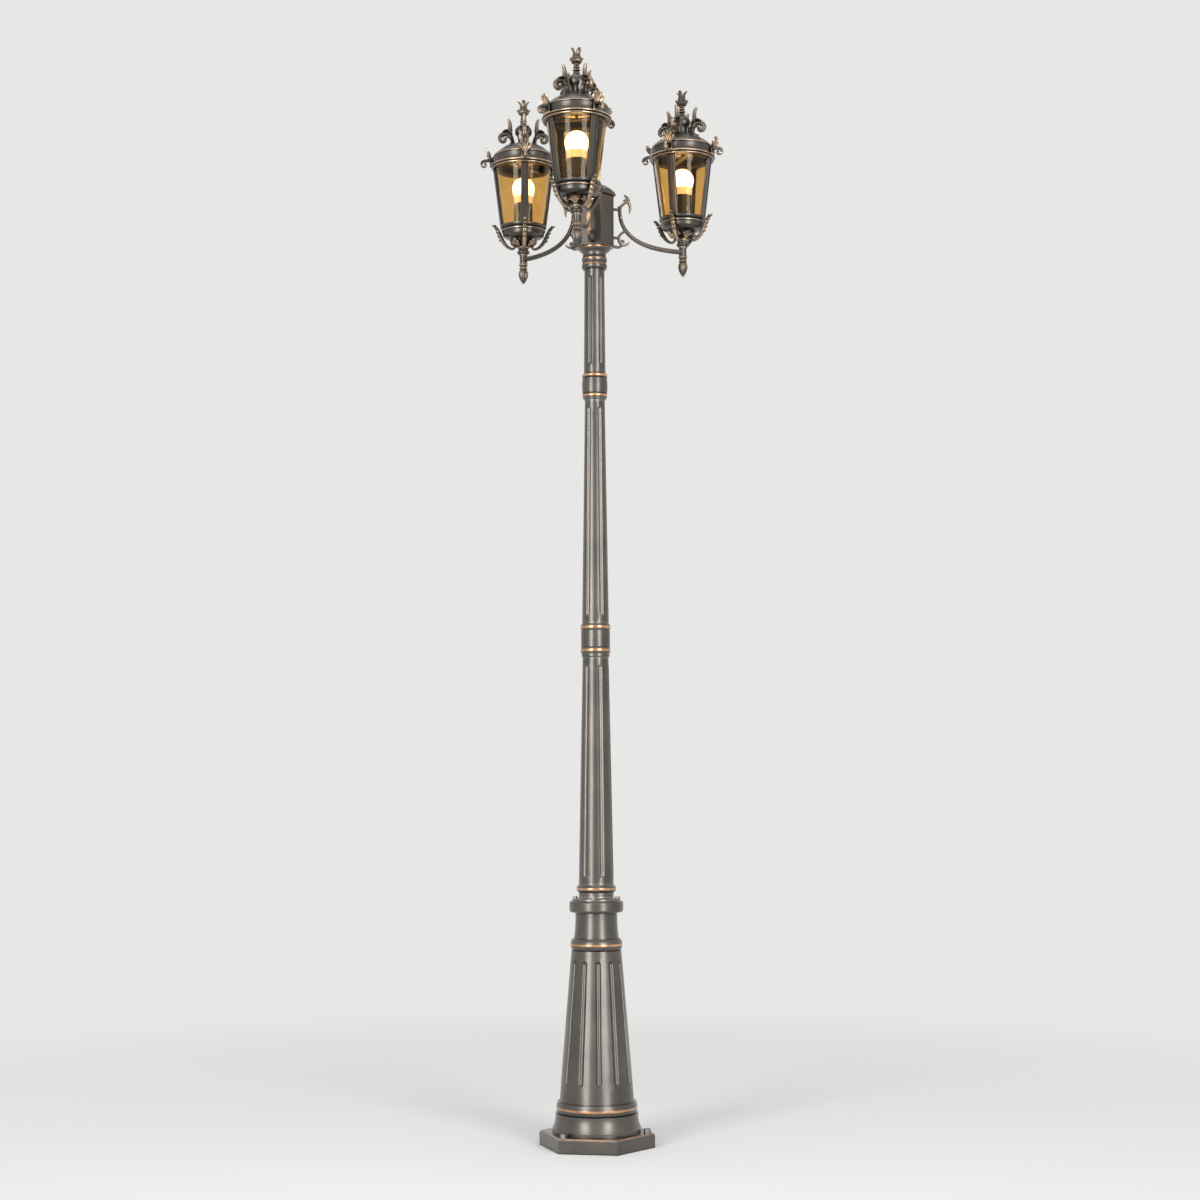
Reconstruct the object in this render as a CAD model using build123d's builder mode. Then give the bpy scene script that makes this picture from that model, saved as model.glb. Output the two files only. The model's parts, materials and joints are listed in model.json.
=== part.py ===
"""Tall garden lamp post with three lanterns on scroll arms, in millimetres, standing on Z = 0."""

import os
from math import atan2, cos, degrees, radians, sin, sqrt

from build123d import *

# Clearances
FIT = 0.1  # pipes, bolts and spigots in their holes
FREE = 0.4  # round what turns or lifts

# Base pedestal
PLATE_CORNER = 121.0
PLATE_HEIGHT = 30.0
PLATE_ROUND = 4.0
SKIRT_FOOT = 8.0
SKIRT_LOW = 92.0
SKIRT_HIGH = 85.5
SKIRT_HEIGHT = 39.0
BASE_BEAD = 83.6
BASE_BEAD_HEIGHT = 23.0
CONE_LOW = 77.0
CONE_HIGH = 52.0
CONE_HEIGHT = 308.0
CONE_BEAD = 54.2
CONE_BEAD_HEIGHT = 24.0
NECK_LOW = 46.8
NECK_HIGH = 43.7
NECK_HEIGHT = 54.0
FLANGE = 56.2
FLANGE_HEIGHT = 24.0
FLANGE_ROUND = 5.0
BASE_WALL = 9.0
CONE_FLUTES = 12
CONE_FLUTE_TURN = 13.5
CONE_FLUTE_WIDTHS = (12.5, 11.5)
CONE_FLUTE_DEPTH = 4.0
CONE_FLUTE_ENDS = (38.0, 20.0)  # left plain at the cone's foot and head

# Anchors in three corners of the plate
ANCHORS = 3
ANCHOR_CIRCLE = 105.0
ANCHOR_HOLE = 4.5
ANCHOR_BORE = 4.1
WASHER = 8.0
WASHER_HEIGHT = 1.6
NUT_FLATS = 13.0
NUT_HEIGHT = 6.5

# Pole sections
POLE_WALL = 5.0
POLE_FLUTES = 6
POLE_FLUTE_DEPTH = 2.8
POLE_FLUTE_MARGIN = 16.0
FOOT = 50.0
FOOT_HEIGHT = 4.5
FOOT_COVE = 3.0
LOWER_NECK_HEIGHT = 12.0
LOWER_BEAD = 41.5
LOWER_BEAD_HEIGHT = 16.0
LOWER_LOW = 36.5
LOWER_HIGH = 27.4
LOWER_SHAFT = 473.0
LOWER_FLUTE_WIDTHS = (11.0, 10.0)
LOWER_FLUTE_TURN = 0.0
LOWER_RING = 31.6
LOWER_RING_HEIGHT = 22.0
MIDDLE_COLLAR = 30.6
MIDDLE_COLLAR_HEIGHT = 35.0
MIDDLE_BEAD_HEIGHT = 14.0
MIDDLE_LOW = 28.3
MIDDLE_HIGH = 21.3
MIDDLE_SHAFT = 476.0
MIDDLE_FLUTE_WIDTHS = (10.0, 9.0)
MIDDLE_FLUTE_TURN = 7.0
MIDDLE_RING = 26.6
MIDDLE_RING_HEIGHT = 15.0
UPPER_COLLAR = 27.3
UPPER_COLLAR_HEIGHT = 32.0
UPPER_BEAD_HEIGHT = 11.0
UPPER_LOW = 23.0
UPPER_HIGH = 21.4
UPPER_SHAFT = 225.0
UPPER_FLUTE_WIDTHS = (9.0, 8.5)
UPPER_FLUTE_TURN = 13.0
BEAD_BOW = 2.2
LOWER_SOCKET = 18.0
LOWER_SOCKET_DEPTH = 40.0
UPPER_SOCKET = 15.0
UPPER_SOCKET_DEPTH = 30.0
NIPPLE_WALL = 3.0

# Bolts through the pole's foot into the pedestal's flange
FOOT_BOLTS = 4
FOOT_BOLT_CIRCLE = 45.0
FOOT_BOLT = 2.5
FOOT_BOLT_HEAD_FLATS = 8.0
FOOT_BOLT_HEAD_HEIGHT = 4.0
FOOT_BOLT_REACH = 18.0

# Head: collar, hexagonal box and domed cap
COLLAR = 27.2
COLLAR_RING_HEIGHT = 14.0
COLLAR_BEAD_HEIGHT = 14.0
COLLAR_BARREL_HEIGHT = 10.0
COLLAR_TOP_HEIGHT = 9.0
COLLAR_TOP = 34.0
COLLAR_SPIGOT_DEPTH = 25.0
WIRE_BORE = 11.0
BOX_CORNER = 42.0
BOX_HEIGHT = 112.0
BOX_WALL = 4.0
BOX_FLOOR = 6.0
BOX_LIP = 2.5
BOX_LIP_HEIGHT = 4.0
CAP_EAVE = 46.8
CAP_EAVE_HEIGHT = 4.0
CAP_DOME_HEIGHT = 24.0
CAP_SPIGOT_HEIGHT = 8.0
TERMINAL_SIZE = (30.0, 13.0, 18.0)

# Scroll arms
ARM_TURNS = {"front": 270.0, "right": 30.0, "left": 150.0}
ARM_REACH = 204.3
ARM_RISE = 8.5  # of the arm's end over the box's underside
ARM_TOP = 21.5  # of the bar's head out from the box's face
ARM_SWEEP = 87.7  # of the bar's head over its end
ARM_SQUARENESS = 2.65  # 2 bends the bar along a quarter ellipse, more makes the corner tighter
ARM_STEPS = 9
ARM_THICK = 10.0
SCROLL_THICK = 8.0
ARM_BAR = (3.4, 4.8)  # half depth of the bar at its head and at the stem
TOP_STUB = 89.0  # heights over the box's underside
LOW_STUB = 27.0
STUB = 4.0
ARM_BOLT = 2.5
ARM_BOLT_HEAD = 5.0
ARM_BOLT_HEAD_HEIGHT = 3.5
ARM_BOLT_REACH = 10.0

# Paths of the arm's scrolls: steps out, up and half width from where each one starts
ARM_CURL = (
    (0.0, -6.0, 3.2),
    (2.0, -0.5, 3.2),
    (6.0, 4.0, 3.2),
    (11.5, 9.0, 3.2),
    (18.0, 12.0, 3.2),
    (22.8, 7.5, 3.0),
    (24.2, -2.0, 2.6),
    (23.0, -13.0, 1.0),
)
ARM_LEAF = ((20.5, 8.0, 3.0), (20.0, 15.0, 3.2), (16.5, 21.5, 2.8), (10.5, 26.3, 1.0))
ARM_HOOK = (
    (0.0, 0.0, 2.6),
    (-7.0, -4.0, 2.8),
    (-13.0, -9.0, 3.0),
    (-17.0, -17.0, 3.0),
    (-14.5, -26.0, 3.0),
    (-7.5, -31.5, 3.0),
    (1.5, -29.5, 2.6),
    (8.0, -23.0, 1.0),
)
UNDER_LEAF = ((0.0, 3.8, 3.0), (6.0, 3.8, 3.0), (13.0, 3.0, 3.0), (20.0, 3.0, 3.0))

# Lantern: stem, pipe and drop finial
STEM = 8.5
STEM_BELOW = 8.5
STEM_ABOVE = 12.5
PIPE = 5.0
PIPE_BORE = 3.5
PIPE_END = 10.0  # length held in the drop finial
PIPE_TOP = 6.0  # length held in the lampholder
KNUCKLE = 9.8
KNUCKLE_HEIGHT = 13.0
ACORN = 10.0
ACORN_HEIGHT = 33.0

# Lantern: gallery under the glass
GALLERY_COLLAR = 14.0
GALLERY_COLLAR_HEIGHT = 7.0
GALLERY_CUP = 10.0
GALLERY_CUP_TOP = 17.0
GALLERY_CUP_HEIGHT = 25.0
GALLERY_BOWL = 45.0
GALLERY_BOWL_HEIGHT = 8.0
GALLERY_SEAT = 50.8
GALLERY_SEAT_HEIGHT = 21.0
GALLERY_RIM = 7.0
GALLERY_WALL = 4.0
GALLERY_FLOOR = 4.0
ORNAMENTS = 4
ORNAMENT_TURN = 45.0

# Lantern: glass, cage and bridge
GLASS_LOW = 46.0
GLASS_HIGH = 62.0
GLASS_HEIGHT = 128.0
GLASS = 3.0
GLASS_SPAN = 84.0
MULLION = 17.0
MULLION_THICK = 3.5
MULLION_EDGE = 2.5
MULLION_EDGE_RISE = 1.2
RING_HEIGHT = 4.8
RING_INSIDE = 56.0
RING = 69.5
BRIDGE_WIDTH = 12.0
BRIDGE_THICK = 3.0
BRIDGE_END = 60.0
STUD = 3.0

# Lantern: roof
CORNICE = 72.0
CORNICE_INSIDE = 61.5
CORNICE_HEIGHT = 20.0
CORNICE_BEAD_HEIGHT = 5.0
ROOF_BEAD = 66.5
ROOF_BEAD_HEIGHT = 8.0
ROOF_RISE = 26.0
ROOF_WALL = 4.0
ROOF_NECK = 12.0
ROOF_NECK_HEIGHT = 14.0
BELL = 17.0
BELL_HEIGHT = 28.0
BELL_TOP = 8.0

# Lantern: ornaments on the roof
SHELL_LOBES = 7
SHELL_HALF_WIDTH = 16.0
SHELL_HEIGHT = 30.0
SHELL_FAN = 150.0
SHELL_FOOT = 5.0
SHELL_THICK = 4.5
SHELL_LEAN = 38.0
LOBE_BOW = 1.6
RIM_EYE = (14.0, 6.0)  # out from the cornice and up from its foot
RIM_NECK = ((-6.0, 1.0, 3.4), (4.0, 1.5, 3.4))
RIM_VOLUTE = ((8.0, 2.6), (75.0, -190.0), (3.0, 1.0))  # radii, angles and half widths from start to end
CROWN_ROOT = (11.0, -3.0)  # out from the roof's neck and up from its foot
CROWN_EYE = (21.0, 14.0)
CROWN_VOLUTE = ((10.2, 2.6), (80.0, -200.0), (4.2, 1.4))
CROWN_NECK = ((0.0, -2.0, 4.6), (1.5, 10.0, 4.6), (6.0, 22.0, 4.4), (14.0, 25.5, 4.2))
CROWN_HORN = (
    (8.0, 20.0, 4.4),
    (6.5, 33.0, 4.2),
    (6.0, 45.0, 3.6),
    (7.5, 55.0, 2.8),
    (11.5, 61.0, 1.2),
)
GALLERY_EYE = (11.5, 19.0)  # out from the cup's foot and up from the collar
GALLERY_VOLUTE = ((8.6, 2.4), (215.0, -140.0), (2.6, 1.2))
GALLERY_BELLY = (
    (11.6, 3.0, 1.0),
    (4.3, -8.0, 2.8),
    (-1.4, -22.0, 3.4),
    (-8.6, -36.0, 3.4),
    (-17.8, -46.0, 3.0),
    (-27.8, -49.0, 2.8),
)
VOLUTE_STEPS = 10
ORNAMENT_THICK = 8.0
CROWN_THICK = 9.0

# Lantern: crown finial
FINIAL_HEIGHT = 57.0
FINIAL_SPOOL = 21.0
FINIAL_HOLE = 14.0
FINIAL_WAIST = 5.6
FINIAL_RING = 7.4
FINIAL_NECK = 5.0
FINIAL_BUD = 9.6
FINIAL_BUD_RISE = 9.0
FINIAL_TIP = 6.0
PETAL_THICK = 6.0
PETAL = (
    (4.0, 1.0, 2.0),
    (9.2, 6.5, 2.4),
    (9.6, 13.0, 2.2),
    (6.4, 20.5, 1.8),
    (5.2, 26.0, 1.6),
    (6.6, 31.0, 1.4),
    (9.6, 34.6, 0.5),
)

# Lantern: lampholder and bulb
HOLDER = 20.0
HOLDER_HEIGHT = 68.0
HOLDER_WAIST = 17.5
HOLDER_WAIST_HEIGHT = 22.0
SCREW_CAP = 13.0
SCREW_CAP_HEIGHT = 26.0
BULB_BASE = 21.5
BULB_BASE_HEIGHT = 16.0
GLOBE = 24.5
GLOBE_HEIGHT = 43.0

# Heights up the post
plate_top = PLATE_HEIGHT
skirt_top = plate_top + SKIRT_HEIGHT
base_bead_top = skirt_top + BASE_BEAD_HEIGHT
cone_top = base_bead_top + CONE_HEIGHT
cone_bead_top = cone_top + CONE_BEAD_HEIGHT
neck_top = cone_bead_top + NECK_HEIGHT
flange_top = neck_top + FLANGE_HEIGHT
foot_top = flange_top + FOOT_HEIGHT
lower_neck_top = foot_top + LOWER_NECK_HEIGHT
lower_bead_top = lower_neck_top + LOWER_BEAD_HEIGHT
lower_shaft_top = lower_bead_top + LOWER_SHAFT
lower_top = lower_shaft_top + LOWER_RING_HEIGHT
middle_collar_top = lower_top + MIDDLE_COLLAR_HEIGHT
middle_bead_top = middle_collar_top + MIDDLE_BEAD_HEIGHT
middle_shaft_top = middle_bead_top + MIDDLE_SHAFT
middle_top = middle_shaft_top + MIDDLE_RING_HEIGHT
upper_collar_top = middle_top + UPPER_COLLAR_HEIGHT
upper_bead_top = upper_collar_top + UPPER_BEAD_HEIGHT
upper_top = upper_bead_top + UPPER_SHAFT
collar_ring_top = upper_top + COLLAR_RING_HEIGHT
collar_bead_top = collar_ring_top + COLLAR_BEAD_HEIGHT
collar_barrel_top = collar_bead_top + COLLAR_BARREL_HEIGHT
box_bottom = collar_barrel_top + COLLAR_TOP_HEIGHT
box_floor = box_bottom + BOX_FLOOR
box_top = box_bottom + BOX_HEIGHT
box_face = BOX_CORNER * sqrt(3) / 2

# Heights up the lantern
arm_end = box_bottom + ARM_RISE
stem_bottom = arm_end - STEM_BELOW
stem_top = arm_end + STEM_ABOVE
knuckle_bottom = stem_bottom - KNUCKLE_HEIGHT
acorn_tip = knuckle_bottom - ACORN_HEIGHT
collar_top = stem_top + GALLERY_COLLAR_HEIGHT
cup_top = collar_top + GALLERY_CUP_HEIGHT
bowl_top = cup_top + GALLERY_BOWL_HEIGHT
seat = bowl_top + GALLERY_SEAT_HEIGHT
gallery_floor = bowl_top + GALLERY_FLOOR
holder_top = gallery_floor + HOLDER_HEIGHT
bulb_base_bottom = holder_top + FREE
bulb_base_top = bulb_base_bottom + BULB_BASE_HEIGHT
globe_top = bulb_base_top + GLOBE_HEIGHT
ring_bottom = seat + GLASS_HEIGHT
ring_top = ring_bottom + RING_HEIGHT
cornice_top = ring_top + CORNICE_HEIGHT
roof_bead_top = cornice_top + ROOF_BEAD_HEIGHT
roof_top = roof_bead_top + ROOF_RISE
roof_neck_top = roof_top + ROOF_NECK_HEIGHT
bell_top = roof_neck_top + BELL_HEIGHT
finial_top = bell_top + FINIAL_HEIGHT


def outline(*corners):
    """Face in XZ through the corners (radius, height), anticlockwise; a third number bows that edge out."""
    with BuildSketch(Plane.XZ) as face:
        with BuildLine():
            for start, end in zip(corners[-1:] + corners[:-1], corners):
                if len(end) == 3:
                    SagittaArc(start[:2], end[:2], -end[2])
                else:
                    Line(start[:2], end)
        make_face()
    return face.sketch


def ribbon(*nodes):
    """Tapering strip in XZ along the nodes (x, height, half width)."""
    left = []
    right = []
    for index, (x, z, half) in enumerate(nodes):
        before = nodes[max(index - 1, 0)]
        after = nodes[min(index + 1, len(nodes) - 1)]
        along = Vector(after[0] - before[0], after[1] - before[1]).normalized() * half
        left.append((x - along.Y, z + along.X))
        right.append((x + along.Y, z - along.X))
    with BuildSketch(Plane.XZ) as strip:
        with BuildLine():
            Spline(*left)
            Line(left[-1], right[-1])
            Spline(*reversed(right))
            Line(right[0], left[0])
        make_face()
    return strip.sketch


def steps_from(start, steps):
    """Nodes of a ribbon at the given steps out, up and half width from its start."""
    return [(start[0] + out, start[1] + up, half) for out, up, half in steps]


def volute(centre, radii, angles, halves):
    """Nodes of a ribbon along a spiral whose radius, angle and half width run between the given pairs."""
    nodes = []
    for step in range(VOLUTE_STEPS):
        share = step / (VOLUTE_STEPS - 1)
        radius = radii[0] + share * (radii[1] - radii[0])
        angle = radians(angles[0] + share * (angles[1] - angles[0]))
        half = halves[0] + share * (halves[1] - halves[0])
        nodes.append((centre[0] + radius * cos(angle), centre[1] + radius * sin(angle), half))
    return nodes


def dome_bow(low, high):
    """Bow that lays the edge between two corners (radius, height) on a ball about the axis."""
    rise = high[1] - low[1]
    drop = (low[0] ** 2 - high[0] ** 2 - rise**2) / (2 * rise)
    ball = sqrt(low[0] ** 2 + drop**2)
    return ball - sqrt(ball**2 - (rise**2 + (low[0] - high[0]) ** 2) / 4)


def flute(foot, head, widths, depth):
    """Cutter for one round-bottomed flute from foot to head, both (radius, height) on the shaft's surface."""
    hollow_low = (widths[0] ** 2 / 4 + depth**2) / (2 * depth)
    hollow_high = (widths[1] ** 2 / 4 + depth**2) / (2 * depth)
    low = Vector(foot[0] + hollow_low - depth, 0, foot[1] + widths[0] / 2)
    high = Vector(head[0] + hollow_high - depth, 0, head[1] - widths[1] / 2)
    lean = degrees(atan2(high.X - low.X, high.Z - low.Z))
    length = (high - low).length
    with BuildPart() as cutter:
        Cone(hollow_low, hollow_high, length)
        with Locations((0, 0, -length / 2)):
            Sphere(hollow_low)
        with Locations((0, 0, length / 2)):
            Sphere(hollow_high)
    return cutter.part.moved(Location((low + high) * 0.5, (0, lean, 0)))


def shaft_flute(low, high, bottom, top, widths):
    """Cutter for one flute of a pole shaft that tapers from low at its bottom to high at its top."""
    slope = (high - low) / (top - bottom)
    foot = (low + slope * POLE_FLUTE_MARGIN, bottom + POLE_FLUTE_MARGIN)
    head = (high - slope * POLE_FLUTE_MARGIN, top - POLE_FLUTE_MARGIN)
    return flute(foot, head, widths, POLE_FLUTE_DEPTH)


def write(part, label, place=Location()):
    """Write a labelled copy of the part, standing at its place."""
    placed = part.moved(place)
    placed.label = label
    export_step(placed, f"parts/{label}.step")


os.makedirs("parts", exist_ok=True)

# Base pedestal: hexagonal plate, skirt, bead, fluted cone, neck and flange round one open hollow
with BuildPart() as base_pedestal:
    with BuildSketch():
        RegularPolygon(PLATE_CORNER, 6)
    extrude(amount=PLATE_HEIGHT)
    chamfer(base_pedestal.faces().sort_by(Axis.Z)[-1].edges(), PLATE_ROUND)
    pedestal_outline = outline(
        (0, 0),
        (SKIRT_LOW, 0),
        (SKIRT_LOW, plate_top + SKIRT_FOOT),
        (SKIRT_HIGH, skirt_top, -BEAD_BOW),
        (BASE_BEAD - BEAD_BOW, skirt_top),
        (BASE_BEAD - BEAD_BOW, base_bead_top, BEAD_BOW),
        (CONE_LOW, base_bead_top),
        (CONE_HIGH, cone_top),
        (CONE_BEAD - 2 * BEAD_BOW, cone_top),
        (CONE_BEAD - 2 * BEAD_BOW, cone_bead_top, 2 * BEAD_BOW),
        (NECK_LOW, cone_bead_top),
        (NECK_HIGH, neck_top, -BEAD_BOW / 2),
        (FLANGE - FLANGE_ROUND, neck_top),
        (FLANGE, neck_top + FLANGE_ROUND, FLANGE_ROUND / 4),
        (FLANGE, flange_top - FLANGE_ROUND),
        (FLANGE - FLANGE_ROUND, flange_top, FLANGE_ROUND / 4),
        (0, flange_top),
    )
    revolve(pedestal_outline, axis=Axis.Z)
    hollow_outline = outline(
        (0, 0),
        (SKIRT_LOW - BASE_WALL, 0),
        (SKIRT_HIGH - BASE_WALL, skirt_top),
        (CONE_LOW - BASE_WALL, base_bead_top),
        (CONE_HIGH - BASE_WALL, cone_top),
        (NECK_HIGH - BASE_WALL, cone_bead_top),
        (NECK_HIGH - BASE_WALL, flange_top),
        (0, flange_top),
    )
    revolve(hollow_outline, axis=Axis.Z, mode=Mode.SUBTRACT)
    cone_slope = (CONE_HIGH - CONE_LOW) / CONE_HEIGHT
    cone_foot = (CONE_LOW + cone_slope * CONE_FLUTE_ENDS[0], base_bead_top + CONE_FLUTE_ENDS[0])
    cone_head = (CONE_HIGH - cone_slope * CONE_FLUTE_ENDS[1], cone_top - CONE_FLUTE_ENDS[1])
    cone_flute = flute(cone_foot, cone_head, CONE_FLUTE_WIDTHS, CONE_FLUTE_DEPTH)
    with PolarLocations(0, CONE_FLUTES, start_angle=CONE_FLUTE_TURN):
        add(cone_flute, mode=Mode.SUBTRACT)
    with PolarLocations(ANCHOR_CIRCLE, ANCHORS):
        Cylinder(ANCHOR_HOLE, 3 * PLATE_HEIGHT, mode=Mode.SUBTRACT)
    with BuildSketch(Plane.XY.offset(flange_top)):
        with PolarLocations(FOOT_BOLT_CIRCLE, FOOT_BOLTS):
            Circle(FOOT_BOLT + FIT)
    extrude(amount=-FOOT_BOLT_REACH, mode=Mode.SUBTRACT)
write(base_pedestal.part, "base_pedestal")

with BuildPart() as anchor_washers:
    with BuildSketch(Plane.XY.offset(plate_top)):
        with PolarLocations(ANCHOR_CIRCLE, ANCHORS):
            Circle(WASHER)
            Circle(ANCHOR_BORE, mode=Mode.SUBTRACT)
    extrude(amount=WASHER_HEIGHT)
write(anchor_washers.part, "anchor_washers")

with BuildPart() as anchor_nuts:
    with BuildSketch(Plane.XY.offset(plate_top + WASHER_HEIGHT)):
        with PolarLocations(ANCHOR_CIRCLE, ANCHORS):
            RegularPolygon(NUT_FLATS / 2, 6, major_radius=False)
            Circle(ANCHOR_BORE, mode=Mode.SUBTRACT)
    extrude(amount=NUT_HEIGHT)
write(anchor_nuts.part, "anchor_nuts")

# Pole sections: tapered, fluted tubes with beaded ends and a socket at each joint
with BuildPart() as lower_pole_section:
    lower_outline = outline(
        (LOWER_LOW - POLE_WALL, flange_top),
        (FOOT, flange_top),
        (FOOT, foot_top),
        (LOWER_LOW + FOOT_COVE, foot_top),
        (LOWER_LOW, foot_top + FOOT_COVE, -FOOT_COVE / 4),
        (LOWER_LOW, lower_neck_top),
        (LOWER_LOW, lower_bead_top, LOWER_BEAD - LOWER_LOW),
        (LOWER_HIGH, lower_shaft_top),
        (LOWER_RING - BEAD_BOW, lower_shaft_top + BEAD_BOW),
        (LOWER_RING - BEAD_BOW, lower_top - MIDDLE_BEAD_HEIGHT),
        (LOWER_RING - BEAD_BOW, lower_top, BEAD_BOW),
        (LOWER_SOCKET, lower_top),
        (LOWER_SOCKET, lower_top - LOWER_SOCKET_DEPTH),
        (LOWER_HIGH - POLE_WALL, lower_shaft_top - LOWER_SOCKET_DEPTH),
        (LOWER_LOW - POLE_WALL, lower_bead_top),
    )
    revolve(lower_outline, axis=Axis.Z)
    lower_flute = shaft_flute(LOWER_LOW, LOWER_HIGH, lower_bead_top, lower_shaft_top, LOWER_FLUTE_WIDTHS)
    with PolarLocations(0, POLE_FLUTES, start_angle=LOWER_FLUTE_TURN):
        add(lower_flute, mode=Mode.SUBTRACT)
    with BuildSketch(Plane.XY.offset(flange_top)):
        with PolarLocations(FOOT_BOLT_CIRCLE, FOOT_BOLTS):
            Circle(FOOT_BOLT + FIT)
    extrude(amount=FOOT_HEIGHT, mode=Mode.SUBTRACT)
write(lower_pole_section.part, "lower_pole_section")

with BuildPart() as flange_bolts:
    with BuildSketch(Plane.XY.offset(foot_top)):
        with PolarLocations(FOOT_BOLT_CIRCLE, FOOT_BOLTS):
            RegularPolygon(FOOT_BOLT_HEAD_FLATS / 2, 6, major_radius=False)
    extrude(amount=FOOT_BOLT_HEAD_HEIGHT)
    with BuildSketch(Plane.XY.offset(foot_top)):
        with PolarLocations(FOOT_BOLT_CIRCLE, FOOT_BOLTS):
            Circle(FOOT_BOLT)
    extrude(amount=-(FOOT_HEIGHT + FOOT_BOLT_REACH - FREE))
write(flange_bolts.part, "flange_bolts")

with BuildPart() as lower_joint_nipple:
    with BuildSketch(Plane.XY.offset(lower_top)):
        Circle(LOWER_SOCKET - FIT)
        Circle(LOWER_SOCKET - FIT - NIPPLE_WALL, mode=Mode.SUBTRACT)
    extrude(amount=LOWER_SOCKET_DEPTH, both=True)
write(lower_joint_nipple.part, "lower_joint_nipple")

with BuildPart() as middle_pole_section:
    middle_outline = outline(
        (LOWER_SOCKET, lower_top),
        (MIDDLE_COLLAR, lower_top),
        (MIDDLE_COLLAR, middle_collar_top),
        (LOWER_RING - BEAD_BOW, middle_collar_top),
        (LOWER_RING - BEAD_BOW, middle_bead_top, BEAD_BOW),
        (MIDDLE_LOW, middle_bead_top),
        (MIDDLE_HIGH, middle_shaft_top),
        (MIDDLE_RING - BEAD_BOW, middle_shaft_top + BEAD_BOW),
        (MIDDLE_RING - BEAD_BOW, middle_top - UPPER_BEAD_HEIGHT),
        (MIDDLE_RING - BEAD_BOW, middle_top, BEAD_BOW),
        (UPPER_SOCKET, middle_top),
        (UPPER_SOCKET, middle_top - UPPER_SOCKET_DEPTH),
        (MIDDLE_HIGH - POLE_WALL, middle_shaft_top - UPPER_SOCKET_DEPTH),
        (MIDDLE_LOW - POLE_WALL, middle_bead_top),
        (LOWER_SOCKET, lower_top + LOWER_SOCKET_DEPTH),
    )
    revolve(middle_outline, axis=Axis.Z)
    middle_flute = shaft_flute(
        MIDDLE_LOW, MIDDLE_HIGH, middle_bead_top, middle_shaft_top, MIDDLE_FLUTE_WIDTHS
    )
    with PolarLocations(0, POLE_FLUTES, start_angle=MIDDLE_FLUTE_TURN):
        add(middle_flute, mode=Mode.SUBTRACT)
write(middle_pole_section.part, "middle_pole_section")

with BuildPart() as upper_joint_nipple:
    with BuildSketch(Plane.XY.offset(middle_top)):
        Circle(UPPER_SOCKET - FIT)
        Circle(UPPER_SOCKET - FIT - NIPPLE_WALL, mode=Mode.SUBTRACT)
    extrude(amount=UPPER_SOCKET_DEPTH, both=True)
write(upper_joint_nipple.part, "upper_joint_nipple")

with BuildPart() as upper_pole_section:
    upper_outline = outline(
        (UPPER_SOCKET, middle_top),
        (UPPER_COLLAR - BEAD_BOW / 2, middle_top),
        (UPPER_COLLAR - BEAD_BOW / 2, upper_collar_top, BEAD_BOW / 2),
        (UPPER_COLLAR - 2 * BEAD_BOW, upper_collar_top),
        (UPPER_COLLAR - 2 * BEAD_BOW, upper_bead_top, 2 * BEAD_BOW),
        (UPPER_LOW, upper_bead_top),
        (UPPER_HIGH, upper_top),
        (UPPER_SOCKET, upper_top),
    )
    revolve(upper_outline, axis=Axis.Z)
    upper_flute = shaft_flute(UPPER_LOW, UPPER_HIGH, upper_bead_top, upper_top, UPPER_FLUTE_WIDTHS)
    with PolarLocations(0, POLE_FLUTES, start_angle=UPPER_FLUTE_TURN):
        add(upper_flute, mode=Mode.SUBTRACT)
write(upper_pole_section.part, "upper_pole_section")

# Head: beaded collar, hexagonal box with a lip, domed cap, terminal block
with BuildPart() as head_collar:
    collar_outline = outline(
        (WIRE_BORE, upper_top - COLLAR_SPIGOT_DEPTH),
        (UPPER_SOCKET - FIT, upper_top - COLLAR_SPIGOT_DEPTH),
        (UPPER_SOCKET - FIT, upper_top),
        (COLLAR - BEAD_BOW, upper_top),
        (COLLAR - BEAD_BOW, collar_ring_top, BEAD_BOW),
        (COLLAR - BEAD_BOW, collar_bead_top, BEAD_BOW),
        (COLLAR, collar_barrel_top, -BEAD_BOW / 2),
        (COLLAR_TOP, box_bottom, BEAD_BOW),
        (UPPER_SOCKET - FIT, box_bottom),
        (UPPER_SOCKET - FIT, box_floor),
        (WIRE_BORE, box_floor),
    )
    revolve(collar_outline, axis=Axis.Z)
write(head_collar.part, "head_collar")

box_inside = BOX_CORNER - BOX_WALL * 2 / sqrt(3)
with BuildPart() as head_box:
    with BuildSketch(Plane.XY.offset(box_bottom)):
        RegularPolygon(BOX_CORNER, 6)
    extrude(amount=BOX_HEIGHT)
    with BuildSketch(Plane.XY.offset(box_bottom)):
        RegularPolygon(BOX_CORNER + BOX_LIP, 6)
    extrude(amount=BOX_LIP_HEIGHT)
    with BuildSketch(Plane.XY.offset(box_floor)):
        RegularPolygon(box_inside, 6)
    extrude(amount=BOX_HEIGHT, mode=Mode.SUBTRACT)
    with BuildSketch(Plane.XY.offset(box_bottom)):
        Circle(UPPER_SOCKET)
    extrude(amount=BOX_FLOOR, mode=Mode.SUBTRACT)
    for turn in ARM_TURNS.values():
        outwards = Vector(1, 0, 0).rotate(Axis.Z, turn)
        with BuildSketch(Plane((0, 0, box_bottom), x_dir=Vector(0, 0, 1).cross(outwards), z_dir=outwards)):
            with Locations((0, TOP_STUB), (0, LOW_STUB)):
                Circle(ARM_BOLT + FIT)
        extrude(amount=BOX_CORNER, mode=Mode.SUBTRACT)
write(head_box.part, "head_box")

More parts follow.
